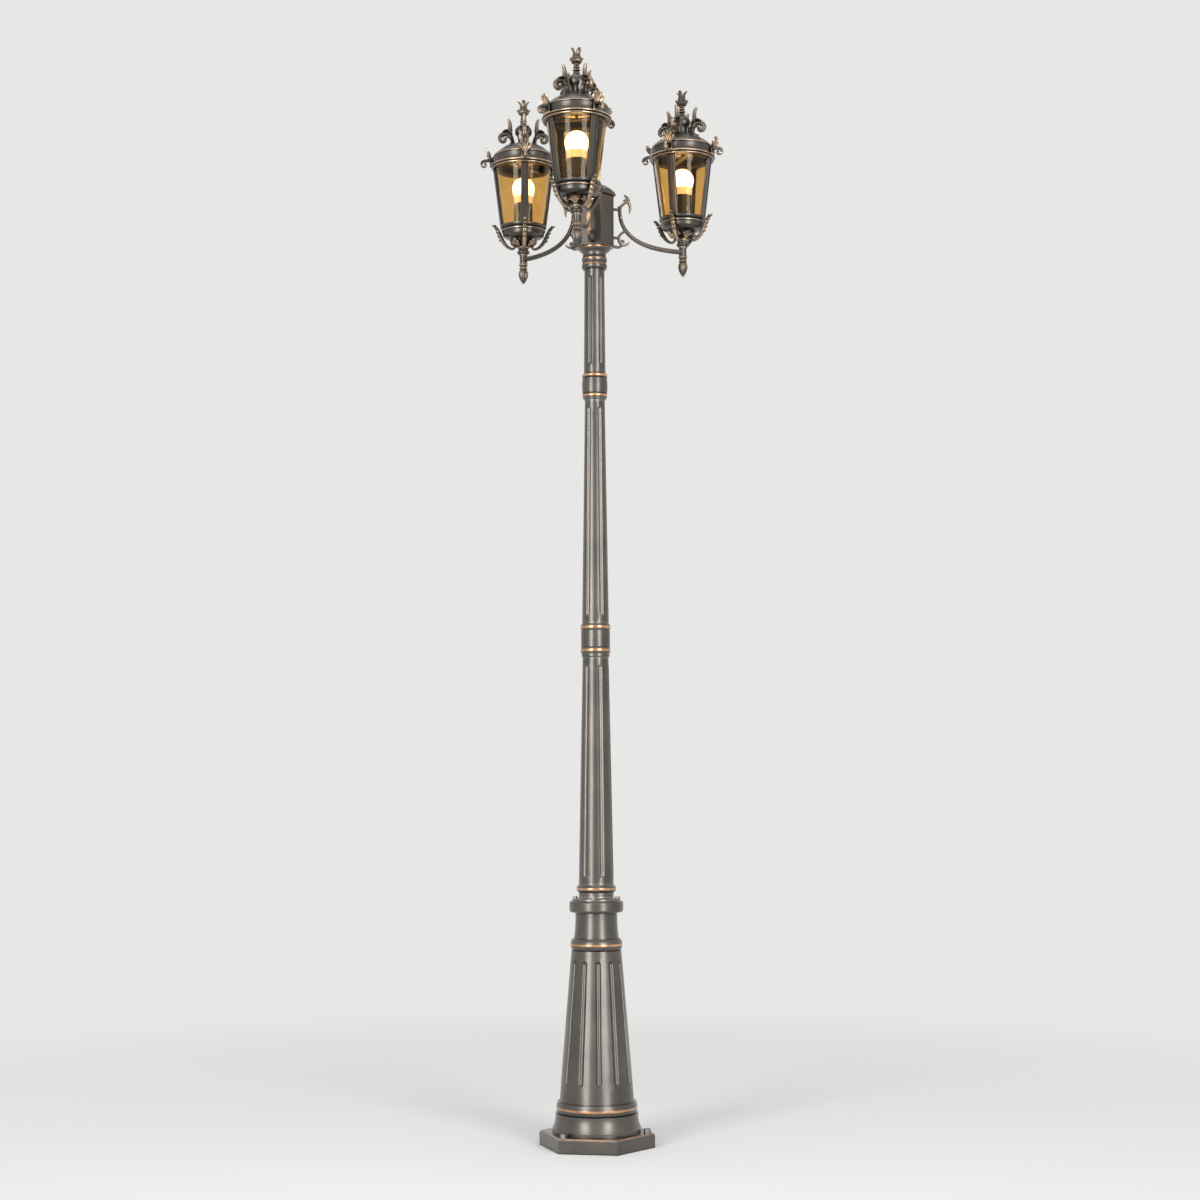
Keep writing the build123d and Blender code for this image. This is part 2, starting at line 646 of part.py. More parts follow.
with BuildPart() as head_cap:
    with BuildSketch(Plane.XY.offset(box_top)):
        RegularPolygon(CAP_EAVE, 6)
    extrude(amount=CAP_EAVE_HEIGHT + CAP_DOME_HEIGHT)
    dome_radius = (CAP_EAVE**2 + CAP_DOME_HEIGHT**2) / (2 * CAP_DOME_HEIGHT)
    with Locations((0, 0, box_top + CAP_EAVE_HEIGHT + CAP_DOME_HEIGHT - dome_radius)):
        Sphere(dome_radius, mode=Mode.INTERSECT)
    with BuildSketch(Plane.XY.offset(box_top)):
        RegularPolygon(box_inside - FREE, 6)
    extrude(amount=-CAP_SPIGOT_HEIGHT)
write(head_cap.part, "head_cap")

with BuildPart() as terminal_block:
    wall_inside = box_face - BOX_WALL
    with BuildSketch(Plane.XY.offset(box_floor)):
        with Locations((0, wall_inside - TERMINAL_SIZE[1] / 2)):
            Rectangle(TERMINAL_SIZE[0], TERMINAL_SIZE[1])
    extrude(amount=TERMINAL_SIZE[2])
    with BuildSketch(Plane.XY.offset(box_floor + TERMINAL_SIZE[2])):
        with Locations((0, wall_inside - TERMINAL_SIZE[1] / 2)):
            with GridLocations(TERMINAL_SIZE[0] / 3, 1, 3, 1):
                Circle(TERMINAL_SIZE[0] / 12)
    extrude(amount=-TERMINAL_SIZE[2] / 2, mode=Mode.SUBTRACT)
write(terminal_block.part, "terminal_block")

with BuildPart() as arm_bolts:
    for turn in ARM_TURNS.values():
        outwards = Vector(1, 0, 0).rotate(Axis.Z, turn)
        inner_face = Plane(
            Vector(0, 0, box_bottom) + outwards * (box_face - BOX_WALL),
            x_dir=Vector(0, 0, 1).cross(outwards),
            z_dir=outwards,
        )
        with BuildSketch(inner_face):
            with Locations((0, TOP_STUB), (0, LOW_STUB)):
                Circle(ARM_BOLT_HEAD)
        extrude(amount=-ARM_BOLT_HEAD_HEIGHT)
        with BuildSketch(inner_face):
            with Locations((0, TOP_STUB), (0, LOW_STUB)):
                Circle(ARM_BOLT)
        extrude(amount=BOX_WALL + ARM_BOLT_REACH - FREE)
write(arm_bolts.part, "arm_bolts")

# Scroll arm, reaching along X from the box's face to the stem
with BuildPart() as arm:
    sweep = ARM_REACH - PIPE - box_face - ARM_TOP
    bar = []
    for step in range(ARM_STEPS + 1):
        share = step / ARM_STEPS
        angle = radians(90 * share)
        out = sweep * (1 - cos(angle) ** (2 / ARM_SQUARENESS))
        drop = ARM_SWEEP * sin(angle) ** (2 / ARM_SQUARENESS)
        half = ARM_BAR[0] + share * (ARM_BAR[1] - ARM_BAR[0])
        bar.append((box_face + ARM_TOP + out, arm_end + ARM_SWEEP - drop, half))
    extrude(ribbon(*bar), amount=ARM_THICK / 2, both=True)
    with BuildSketch(Plane.XY.offset(stem_bottom)):
        with Locations((ARM_REACH, 0)):
            Circle(STEM)
    extrude(amount=STEM_BELOW + STEM_ABOVE)
    fork = bar[len(bar) // 3]  # the hook leaves the bar a third of the way along
    hook = steps_from(fork, ARM_HOOK)
    hook_back = min(out for out, up, half in hook)
    hook_foot = min(hook, key=lambda node: node[1])
    under_leaf = steps_from((box_face, box_bottom + BOX_LIP_HEIGHT), UNDER_LEAF)
    for nodes in (steps_from(bar[0], ARM_CURL), steps_from(bar[0], ARM_LEAF), hook, [*under_leaf, hook_foot]):
        extrude(ribbon(*nodes), amount=SCROLL_THICK / 2, both=True)
    for rise, end in ((TOP_STUB, bar[0][0]), (LOW_STUB, hook_back)):
        with BuildSketch(Plane.YZ.offset(box_face)):
            with Locations((0, box_bottom + rise)):
                Circle(STUB)
        extrude(amount=end - box_face)
        with BuildSketch(Plane.YZ.offset(box_face)):
            with Locations((0, box_bottom + rise)):
                Circle(ARM_BOLT + FIT)
        extrude(amount=ARM_BOLT_REACH, mode=Mode.SUBTRACT)
    with BuildSketch(Plane.XY.offset(stem_bottom)):
        with Locations((ARM_REACH, 0)):
            Circle(PIPE + FIT)
    extrude(amount=STEM_BELOW + STEM_ABOVE, mode=Mode.SUBTRACT)

# Lantern pieces about the stem's axis
with BuildPart() as lamp_pipe:
    with BuildSketch(Plane.XY.offset(stem_bottom - PIPE_END)):
        Circle(PIPE)
        Circle(PIPE_BORE, mode=Mode.SUBTRACT)
    extrude(amount=PIPE_END + gallery_floor + PIPE_TOP - stem_bottom)

with BuildPart() as drop_finial:
    drop_outline = outline(
        (0, acorn_tip),
        (ACORN, knuckle_bottom - ACORN_HEIGHT / 3, ACORN_HEIGHT / 10),
        (ACORN * 0.75, knuckle_bottom, BEAD_BOW / 2),
        (KNUCKLE - BEAD_BOW, knuckle_bottom),
        (KNUCKLE - BEAD_BOW, stem_bottom - KNUCKLE_HEIGHT / 3, BEAD_BOW),
        (STEM, stem_bottom),
        (PIPE + FIT, stem_bottom),
        (PIPE + FIT, stem_bottom - PIPE_END - FREE),
        (0, stem_bottom - PIPE_END - FREE),
    )
    revolve(drop_outline, axis=Axis.Z)

with BuildPart() as gallery:
    gallery_outline = outline(
        (PIPE + FIT, stem_top),
        (GALLERY_COLLAR - BEAD_BOW, stem_top),
        (GALLERY_COLLAR - BEAD_BOW, collar_top, BEAD_BOW),
        (GALLERY_CUP, collar_top),
        (GALLERY_CUP_TOP, cup_top, -BEAD_BOW),
        (GALLERY_BOWL, bowl_top, GALLERY_BOWL_HEIGHT / 3),
        (GALLERY_BOWL + BEAD_BOW / 2, seat - 2 * GALLERY_RIM),
        (GALLERY_BOWL + BEAD_BOW / 2, seat - GALLERY_RIM, BEAD_BOW),
        (GALLERY_SEAT, seat - GALLERY_RIM / 2),
        (GALLERY_SEAT, seat),
        (GLASS_LOW - GLASS - GALLERY_WALL, seat),
        (GLASS_LOW - GLASS - GALLERY_WALL, gallery_floor),
        (PIPE + FIT, gallery_floor),
    )
    revolve(gallery_outline, axis=Axis.Z)

with BuildPart() as lampholder:
    holder_outline = outline(
        (0, gallery_floor + PIPE_TOP + FREE),
        (PIPE + FIT, gallery_floor + PIPE_TOP + FREE),
        (PIPE + FIT, gallery_floor),
        (HOLDER_WAIST, gallery_floor),
        (HOLDER_WAIST, gallery_floor + HOLDER_WAIST_HEIGHT),
        (HOLDER, gallery_floor + HOLDER_WAIST_HEIGHT + BEAD_BOW),
        (HOLDER, holder_top),
        (SCREW_CAP + FREE, holder_top),
        (SCREW_CAP + FREE, holder_top - SCREW_CAP_HEIGHT - FREE),
        (0, holder_top - SCREW_CAP_HEIGHT - FREE),
    )
    revolve(holder_outline, axis=Axis.Z)

with BuildPart() as bulb_base:
    base_outline = outline(
        (0, holder_top - SCREW_CAP_HEIGHT + FREE),
        (SCREW_CAP / 2, holder_top - SCREW_CAP_HEIGHT + FREE),
        (SCREW_CAP, holder_top - SCREW_CAP_HEIGHT + SCREW_CAP / 2),
        (SCREW_CAP, bulb_base_bottom),
        (BULB_BASE - BEAD_BOW, bulb_base_bottom),
        (BULB_BASE, bulb_base_top, BEAD_BOW / 4),
        (0, bulb_base_top),
    )
    revolve(base_outline, axis=Axis.Z)

with BuildPart() as bulb_globe:
    globe_middle = bulb_base_top + GLOBE_HEIGHT - GLOBE
    globe_shoulder = BULB_BASE - BEAD_BOW / 2
    globe_outline = outline(
        (0, bulb_base_top),
        (globe_shoulder, bulb_base_top),
        (GLOBE, globe_middle, BEAD_BOW / 4),
        (GLOBE * cos(radians(45)), globe_middle + GLOBE * sin(radians(45)), GLOBE * (1 - cos(radians(22.5)))),
        (0, globe_top, GLOBE * (1 - cos(radians(22.5)))),
    )
    revolve(globe_outline, axis=Axis.Z)

with BuildPart() as glass_panes:
    pane_outline = outline(
        (GLASS_LOW - GLASS, seat),
        (GLASS_LOW, seat),
        (GLASS_HIGH, ring_bottom),
        (GLASS_HIGH - GLASS, ring_bottom),
    )
    with PolarLocations(0, ORNAMENTS, start_angle=-GLASS_SPAN / 2):
        pane = revolve(pane_outline, axis=Axis.Z, revolution_arc=GLASS_SPAN, mode=Mode.PRIVATE)
        add(pane)

with BuildPart() as mullion_edges:
    edge_outline = outline(
        (GLASS_LOW + FIT + MULLION_THICK / 2, seat),
        (GLASS_LOW + FIT + MULLION_THICK + MULLION_EDGE_RISE, seat),
        (GLASS_HIGH + FIT + MULLION_THICK + MULLION_EDGE_RISE, ring_bottom),
        (GLASS_HIGH + FIT + MULLION_THICK / 2, ring_bottom),
    )
    revolve(edge_outline, axis=Axis.Z)
    with BuildSketch(Plane.XY.offset(seat)):
        with PolarLocations(GLASS_HIGH, ORNAMENTS, start_angle=ORNAMENT_TURN):
            with GridLocations(1, MULLION - MULLION_EDGE, 1, 2):
                Rectangle(GLASS_HIGH, MULLION_EDGE)
    extrude(amount=GLASS_HEIGHT, mode=Mode.INTERSECT)

with BuildPart() as cage:
    mullion_outline = outline(
        (GLASS_LOW + FIT, seat),
        (GLASS_LOW + FIT + MULLION_THICK, seat),
        (GLASS_HIGH + FIT + MULLION_THICK, ring_bottom),
        (GLASS_HIGH + FIT, ring_bottom),
    )
    revolve(mullion_outline, axis=Axis.Z)
    with BuildSketch(Plane.XY.offset(seat)):
        with PolarLocations(GLASS_HIGH, ORNAMENTS, start_angle=ORNAMENT_TURN):
            Rectangle(GLASS_HIGH, MULLION)
    extrude(amount=GLASS_HEIGHT, mode=Mode.INTERSECT)
    add(mullion_edges.part)
    ring_outline = outline(
        (RING_INSIDE, ring_bottom),
        (RING - BEAD_BOW, ring_bottom),
        (RING - BEAD_BOW, ring_top, BEAD_BOW),
        (RING_INSIDE, ring_top),
    )
    revolve(ring_outline, axis=Axis.Z)

with BuildPart() as roof_bridge:
    with BuildSketch(Plane.XY.offset(ring_top)):
        Rectangle(BRIDGE_WIDTH, 2 * BRIDGE_END)
    extrude(amount=BRIDGE_THICK)
    with BuildSketch(Plane.XY.offset(ring_top)):
        Circle(STUD)
    extrude(amount=bell_top + FINIAL_HOLE - FREE - ring_top)

with BuildPart() as roof:
    dome_low = (ROOF_BEAD - BEAD_BOW, roof_bead_top)
    dome_high = (ROOF_NECK + ROOF_WALL, roof_top)
    hollow_low = (CORNICE_INSIDE - ROOF_WALL, cornice_top)
    hollow_high = (ROOF_NECK, roof_top - ROOF_WALL)
    roof_outline = outline(
        (CORNICE_INSIDE, ring_top),
        (CORNICE - BEAD_BOW, ring_top),
        (CORNICE - BEAD_BOW, ring_top + CORNICE_BEAD_HEIGHT, BEAD_BOW),
        (CORNICE - BEAD_BOW, cornice_top, -BEAD_BOW / 4),
        (ROOF_BEAD - BEAD_BOW, cornice_top),
        (*dome_low, BEAD_BOW),
        (*dome_high, dome_bow(dome_low, dome_high)),
        (ROOF_NECK, roof_top + ROOF_WALL, -BEAD_BOW / 4),
        (ROOF_NECK, roof_neck_top),
        (BELL, roof_neck_top + BELL_HEIGHT / 4, -BEAD_BOW / 4),
        (BELL_TOP, bell_top, BELL_HEIGHT / 5),
        (STUD + FREE, bell_top),
        (STUD + FREE, roof_top - ROOF_WALL),
        hollow_high,
        (*hollow_low, -dome_bow(hollow_low, hollow_high)),
        (CORNICE_INSIDE, cornice_top - ROOF_WALL),
    )
    revolve(roof_outline, axis=Axis.Z)

# Each rim ornament leans out from the cornice: a lobed shell over a volute
with BuildPart() as rim_ornament:
    shell_foot = (CORNICE - BEAD_BOW, ring_top + CORNICE_HEIGHT * 0.7)
    lean = radians(SHELL_LEAN)
    shell_plane = Plane((shell_foot[0], 0, shell_foot[1]), x_dir=(0, 1, 0), z_dir=(cos(lean), 0, -sin(lean)))
    tips = []
    for lobe in range(SHELL_LOBES + 1):
        angle = radians(90 - SHELL_FAN / 2 + lobe * SHELL_FAN / SHELL_LOBES)
        tips.append((SHELL_HALF_WIDTH * cos(angle), SHELL_HEIGHT * sin(angle)))
    with BuildSketch(shell_plane) as shell:
        with BuildLine():
            Line((-SHELL_FOOT, 0), (SHELL_FOOT, 0))
            Line((SHELL_FOOT, 0), tips[0])
            for start, end in zip(tips, tips[1:]):
                SagittaArc(start, end, -LOBE_BOW)
            Line(tips[-1], (-SHELL_FOOT, 0))
        make_face()
    extrude(amount=SHELL_THICK)
    rim_eye = (CORNICE + RIM_EYE[0], ring_top + RIM_EYE[1])
    rim_volute = ribbon(
        *steps_from((CORNICE, shell_foot[1]), RIM_NECK),
        *volute(rim_eye, *RIM_VOLUTE),
    )
    extrude(rim_volute, amount=ORNAMENT_THICK / 2, both=True)
    add(roof.part, mode=Mode.SUBTRACT)

with BuildPart() as rim_shells:
    with PolarLocations(0, ORNAMENTS, start_angle=ORNAMENT_TURN):
        add(rim_ornament.part.solids().sort_by(SortBy.VOLUME)[-1])

# Crown scrolls: a volute that curls outward and a horn that rises from its back
with BuildPart() as crown_ornament:
    root = (ROOF_NECK + CROWN_ROOT[0], roof_top + CROWN_ROOT[1])
    crown_eye = (root[0] + CROWN_EYE[0], root[1] + CROWN_EYE[1])
    crown_curl = ribbon(
        *steps_from(root, CROWN_NECK),
        *volute(crown_eye, *CROWN_VOLUTE),
    )
    extrude(crown_curl, amount=CROWN_THICK / 2, both=True)
    horn = ribbon(*steps_from(root, CROWN_HORN))
    extrude(horn, amount=CROWN_THICK / 2, both=True)
    add(roof.part, mode=Mode.SUBTRACT)

with BuildPart() as crown_scrolls:
    with PolarLocations(0, ORNAMENTS, start_angle=ORNAMENT_TURN):
        add(crown_ornament.part.solids().sort_by(SortBy.VOLUME)[-1])

# Gallery scrolls: a leaf tip outside the glass, a belly under the bowl and a volute at the stem
with BuildPart() as gallery_ornament:
    gallery_eye = (GALLERY_CUP + GALLERY_EYE[0], collar_top + GALLERY_EYE[1])
    gallery_curl = ribbon(
        *steps_from((GALLERY_SEAT, seat), GALLERY_BELLY),
        *volute(gallery_eye, *GALLERY_VOLUTE),
    )
    extrude(gallery_curl, amount=ORNAMENT_THICK / 2, both=True)
    add(gallery.part, mode=Mode.SUBTRACT)

with BuildPart() as gallery_scrolls:
    with PolarLocations(0, ORNAMENTS, start_angle=ORNAMENT_TURN):
        add(gallery_ornament.part.solids().sort_by(SortBy.VOLUME)[-1])

# Crown finial: a spool under a bud of four leaves
with BuildPart() as finial:
    spool_top = bell_top + FINIAL_SPOOL
    finial_outline = outline(
        (STUD + FREE, bell_top),
        (BELL_TOP, bell_top),
        (FINIAL_WAIST, bell_top + FINIAL_SPOOL / 3, -BEAD_BOW / 2),
        (FINIAL_RING, bell_top + FINIAL_SPOOL * 2 / 3, BEAD_BOW / 2),
        (FINIAL_NECK, spool_top, -BEAD_BOW / 2),
        (FINIAL_BUD, spool_top + FINIAL_BUD_RISE, BEAD_BOW),
        (FINIAL_NECK, finial_top - FINIAL_BUD_RISE, BEAD_BOW),
        (0, finial_top - FINIAL_TIP),
        (0, bell_top + FINIAL_HOLE),
        (STUD + FREE, bell_top + FINIAL_HOLE),
    )
    revolve(finial_outline, axis=Axis.Z)
    petal = ribbon(*steps_from((0, spool_top), PETAL))
    one_petal = extrude(petal, amount=PETAL_THICK / 2, both=True, mode=Mode.PRIVATE)
    with PolarLocations(0, ORNAMENTS, start_angle=ORNAMENT_TURN):
        add(one_petal)

lantern_pieces = {
    "lamp_pipe": lamp_pipe.part,
    "drop_finial": drop_finial.part,
    "gallery": gallery.part,
    "gallery_scrolls": gallery_scrolls.part,
    "lampholder": lampholder.part,
    "bulb_base": bulb_base.part,
    "bulb_globe": bulb_globe.part,
    "glass_panes": glass_panes.part,
    "cage": cage.part,
    "roof_bridge": roof_bridge.part,
    "roof": roof.part,
    "rim_shells": rim_shells.part,
    "crown_scrolls": crown_scrolls.part,
    "finial": finial.part,
}
for side, turn in ARM_TURNS.items():
    about_post = Location((0, 0, 0), (0, 0, turn))
    write(arm.part, f"{side}_arm", about_post)
    for name, piece in lantern_pieces.items():
        write(piece, f"{side}_{name}", about_post * Location((ARM_REACH, 0, 0)))
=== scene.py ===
"""Looks of a tall garden lamp post with three lanterns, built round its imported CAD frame, in metres."""

import json
from math import atan2, copysign, cos, hypot, pi, radians, sin

import bmesh
import bpy
from mathutils import Matrix, Vector


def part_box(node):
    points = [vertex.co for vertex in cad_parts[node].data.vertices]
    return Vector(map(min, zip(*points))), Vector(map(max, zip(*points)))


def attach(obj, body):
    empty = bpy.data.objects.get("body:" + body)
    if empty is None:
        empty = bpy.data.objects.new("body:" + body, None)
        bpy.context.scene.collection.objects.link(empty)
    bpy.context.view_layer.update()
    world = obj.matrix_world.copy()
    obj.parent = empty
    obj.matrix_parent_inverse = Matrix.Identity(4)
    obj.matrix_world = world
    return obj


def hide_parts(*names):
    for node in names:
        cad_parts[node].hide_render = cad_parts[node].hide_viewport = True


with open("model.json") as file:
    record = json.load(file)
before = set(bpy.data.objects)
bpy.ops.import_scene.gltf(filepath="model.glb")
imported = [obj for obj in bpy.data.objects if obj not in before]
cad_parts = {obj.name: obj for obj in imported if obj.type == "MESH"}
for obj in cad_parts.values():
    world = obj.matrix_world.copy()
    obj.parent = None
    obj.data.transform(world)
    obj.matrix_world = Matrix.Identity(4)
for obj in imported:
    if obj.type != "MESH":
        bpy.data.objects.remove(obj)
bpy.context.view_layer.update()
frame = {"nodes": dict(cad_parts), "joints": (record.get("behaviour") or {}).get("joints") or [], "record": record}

MM = 0.001
SIDES = ("front", "right", "left")

# Camera of the photograph; angles in degrees, the pole's column in the photograph's pixels
PHOTO_SIZE = 1200
POLE_COLUMN = 595.4
CAMERA_AZIMUTH = 10.07
CAMERA_DISTANCE = 4.3488
CAMERA_HEIGHT = 0.7544
CAMERA_PITCH = 4.93
CAMERA_ROLL = -0.18
CAMERA_LENS = 62.13
SENSOR = 36.0

# Studio
PALE = (0.80, 0.80, 0.79, 1.0)
WHITE = (1.0, 1.0, 1.0, 1.0)
FLOOR_RADIUS = 12.0
FLOOR_FADE = (0.5, 2.6)  # distances between which the floor fades into the surround
WORLD_LIGHT = 0.55
SOFTBOXES = (  # name, place, target, size, watts
    ("left_strip", (-1.9, -4.3, 1.8), (0, 0, 1.3), (1.5, 3.8), 160),
    ("right_strip", (3.0, -3.5, 1.8), (0, 0, 1.3), (1.5, 3.8), 145),
    ("top", (0, -0.6, 4.6), (0, 0, 1.2), (2.4, 2.4), 30),
)

# Finishes; a pair of colours is mottled from one to the other
# One bronze paint in lit and shaded copies: painted lighter on the post as painted light, darker on the lanterns
# and their ornaments as painted shade
POST_PAINT_WITH_PAINTED_LIGHT = ((0.068, 0.062, 0.054, 1.0), (0.096, 0.085, 0.072, 1.0))
LANTERN_PAINT_WITH_PAINTED_SHADE = ((0.050, 0.044, 0.037, 1.0), (0.070, 0.060, 0.049, 1.0))
# Near-black painted shade, mixed into the paint in recesses and corners
PAINTED_RECESS_SHADE = (0.007, 0.006, 0.005, 1.0)
FLAKE = (0.28, 0.25, 0.22, 1.0)
COPPER = (0.70, 0.35, 0.16, 1.0)
# Pale copper of the lanterns' worn edges and of their painted highlights
PALE_COPPER_WEAR_AND_HIGHLIGHT = (0.76, 0.52, 0.32, 1.0)
STEEL = ((0.17, 0.165, 0.155, 1.0), (0.34, 0.33, 0.31, 1.0))
HOLDER_BLACK = ((0.008, 0.008, 0.008, 1.0), (0.02, 0.019, 0.018, 1.0))
PORCELAIN = ((0.70, 0.68, 0.62, 1.0), (0.80, 0.78, 0.73, 1.0))
AMBER = ((0.80, 0.57, 0.26, 1.0), (0.87, 0.65, 0.33, 1.0))
FROST = ((0.82, 0.78, 0.69, 1.0), (0.90, 0.87, 0.80, 1.0))
GLOW = (1.0, 0.84, 0.60, 1.0)
BULB_BASE_GLOW = 0.7
BULB_GLOW = 7.0
NOISE_CORE = (0.35, 0.65)  # noise values that a finish is spread over, sharper
NOISE_BODY = (0.3, 0.7)  # and softer
PATCHES = 60.0  # scales of the bronze's noise
CLOUDS = 14.0
FLAKES = 1400.0
EDGE_ROUND = 0.0009
# Painted highlights: the floors of the flutes on the lower and middle pole sections are painted lighter
PAINTED_FLUTE_HIGHLIGHT_NODES = ("lower_pole_section", "middle_pole_section")
PAINTED_FLUTE_HIGHLIGHT = (0.30, 0.27, 0.235, 1.0)
FLUTE_REACH = 0.007
FLUTE_OPENNESS = (0.75, 0.93)  # fully bright below the first, not at all above the second
POLE_RECESS = 0.0028  # reach of the painted shade into corners
POST_RECESS = 0.0042
LANTERN_RECESS = 0.008
RECESS_SHADE_OPENNESS = (0.45, 0.95)
POST_RUBS = (  # height, half width, strength
    (0.0285, 0.0016, 0.5),
    (0.0805, 0.0030, 1.0),
    (0.4120, 0.0030, 1.0),
    (0.5265, 0.0032, 1.0),
    (1.0228, 0.0036, 1.0),
    (1.0715, 0.0036, 1.0),
    (1.5640, 0.0031, 1.0),
    (1.6072, 0.0031, 1.0),
    (1.8480, 0.0022, 0.8),
    (1.8590, 0.0014, 0.7),
    (1.8830, 0.0016, 0.8),
)
# Painted highlights along the lanterns' cornice, roof and seat beads, in pale copper: height, half width, strength
LANTERN_HIGHLIGHT_LINES = (
    (2.0967, 0.0013, 1.0),
    (2.1020, 0.0015, 1.0),
    (2.1240, 0.0013, 0.8),
    (1.9560, 0.0011, 0.8),
)

# Ornaments, in millimetres: places are (out from the lantern's axis, up from the ornament's base),
# with a half width after them on bars and a share of wear and painted highlight after them on turned profiles
ORNAMENT_TURNS = (45, 135, 225, 315)
QUARTERS = (0, 90, 180, 270)
EIGHTHS = tuple(range(22, 360, 45))
ONCE = (0,)
SHARP_ANGLE = 40.0
SCROLL_STEPS = 4  # rings between two nodes of a swept path
VOLUTE_STEPS = 12
LATHE_STEPS = 3
SECTION_POINTS = 14
UNTAPERED = 0.4  # share of a bar's depth that its taper leaves
CROWN_NECK = ((23.0, 49.0, 4.6), (24.5, 61.0, 4.6), (29.0, 73.0, 4.4), (37.0, 76.5, 4.2))
CROWN_VOLUTE = ((44.0, 65.0), (10.2, 3.4), (80.0, -230.0), (4.8, 2.4))
CROWN_HORN = (
    (31.0, 71.0, 4.8),
    (29.5, 84.0, 4.8),
    (29.5, 96.0, 4.4),
    (31.5, 106.0, 3.6),
    (35.5, 112.0, 1.8),
)
CROWN_RINGS = ((30.4, 79.0), (29.8, 85.0))
CROWN_RING = ((-1.8, 4.4), (0.0, 6.4), (1.8, 4.4))  # up, half width
CROWN_LEAF = ((24.0, 52.0), (25.5, 63.0), (29.5, 77.0), (37.5, 82.5), (47.0, 80.0))
CROWN_TONGUE = ((38.0, 50.0), (31.0, 53.0), (27.5, 60.0), (30.5, 67.0), (38.0, 69.0))
RIM_NECK = ((67.0, 15.0, 3.4), (76.0, 15.5, 3.4))
RIM_VOLUTE = ((86.0, 6.0), (8.0, 2.6), (75.0, -230.0), (3.0, 1.6))
RIM_TAB = (
    (70.0, 1.0, 1.6),
    (72.4, 3.5, 2.2),
    (72.6, 9.0, 2.2),
    (71.5, 15.0, 2.2),
    (69.5, 20.0, 1.4),
)
SHELL_PLACE = (71.5, 13.0)
SHELL_LEAN = 10.0
SHELL_CURL = 4.0
SHELL = (15.0, 31.0, 5)  # half width, height, lobes
SHELL_ROWS = 8
SHELL_COLUMNS = 10  # on each lobe
SHELL_ROOT = 0.14  # share of the height at which a shell starts
SHELL_NOTCH = 0.26
SHELL_GROOVE = 4.2
GALLERY_BELLY = (
    (63.4, 3.6, 1.3),
    (56.1, -8.0, 3.2),
    (50.6, -22.0, 4.2),
    (43.2, -36.0, 4.2),
    (33.4, -46.4, 3.2),
    (23.0, -49.5, 2.7),
)
GALLERY_VOLUTE = ((22.5, -35.0), (8.8, 2.6), (215.0, -150.0), (2.5, 1.7))
GALLERY_LEAFLETS = (0.10, 0.22, 0.34, 0.46, 0.58)  # shares of the belly
LEAFLET = ((0.0, 2.4), (6.0, 2.4), (11.0, 0.6))  # along the leaflet, half width
LEAFLET_AWAY = 0.55  # direction of a leaflet, out from the belly
LEAFLET_BACK = 0.83  # and back along it
PALMETTE_PLACE = (13.0, -46.0)
PALMETTE_LEAN = 44.0
PALMETTE = (10.0, 25.0, 5)
CUP_RING = (
    (9.0, -49.4, 0.0),
    (12.2, -48.6, 0.4),
    (13.2, -47.0, 0.9),
    (12.2, -45.4, 0.4),
    (9.0, -44.6, 0.0),
)
CUP_LEAF = ((9.5, -54.5), (11.0, -46.0), (14.0, -37.0), (20.0, -31.0), (25.0, -31.5))
LEAF_STEPS = 6
LEAF_COLUMNS = 4  # on each half
LEAF_ROOT = 0.25  # share of the width at a leaf's ends
LEAF_START = 0.12  # share of the bulge that is over at its root
LEAF_SERRATION = 0.2
LEAF_TIP = 0.12
LEAF_RIB = 0.10
FINIAL_SPOOL = (
    (8.0, 0.0, 0.1),
    (7.8, 3.0, 0.0),
    (5.6, 6.4, 0.0),
    (5.2, 7.6, 0.0),
    (7.4, 9.2, 0.4),
    (7.4, 10.8, 0.4),
    (5.0, 12.6, 0.0),
    (5.0, 13.8, 0.0),
    (6.8, 15.2, 0.4),
    (6.8, 16.8, 0.4),
    (4.8, 18.4, 0.0),
    (4.8, 19.4, 0.0),
    (6.2, 20.8, 0.4),
    (6.2, 22.2, 0.4),
    (4.6, 24.0, 0.0),
    (6.4, 28.0, 0.0),
    (6.2, 36.0, 0.0),
    (4.2, 43.0, 0.0),
    (0.1, 49.0, 0.0),
)
FINIAL_PEARLS = (7.2, 10.0, 1.4, 12)  # out, up, radius, number
PETAL = (
    (4.2, 24.0),
    (8.0, 27.5),
    (8.8, 33.0),
    (7.4, 39.0),
    (6.8, 43.5),
    (8.2, 49.5),
    (12.6, 54.8),
)
SEPAL = ((4.6, 23.4), (8.0, 24.8), (10.2, 27.6), (11.4, 30.6), (14.6, 33.8))
DROP = (
    (8.5, 0.0, 0.1),
    (9.6, -1.8, 0.4),
    (9.8, -3.6, 0.4),
    (8.4, -5.6, 0.0),
    (7.4, -7.6, 0.0),
    (8.2, -9.6, 0.2),
    (9.4, -11.2, 0.4),
    (8.4, -13.0, 0.1),
    (7.0, -14.4, 0.0),
    (8.8, -17.5, 0.1),
    (9.9, -22.0, 0.2),
    (9.8, -26.5, 0.1),
    (8.4, -32.5, 0.0),
    (5.8, -38.5, 0.0),
    (2.8, -43.4, 0.1),
    (0.1, -46.0, 0.2),
)
DROP_RIDGES = 8
DROP_RIDGED_BELOW = -15.0
RIDGE = 0.07  # share of the radius

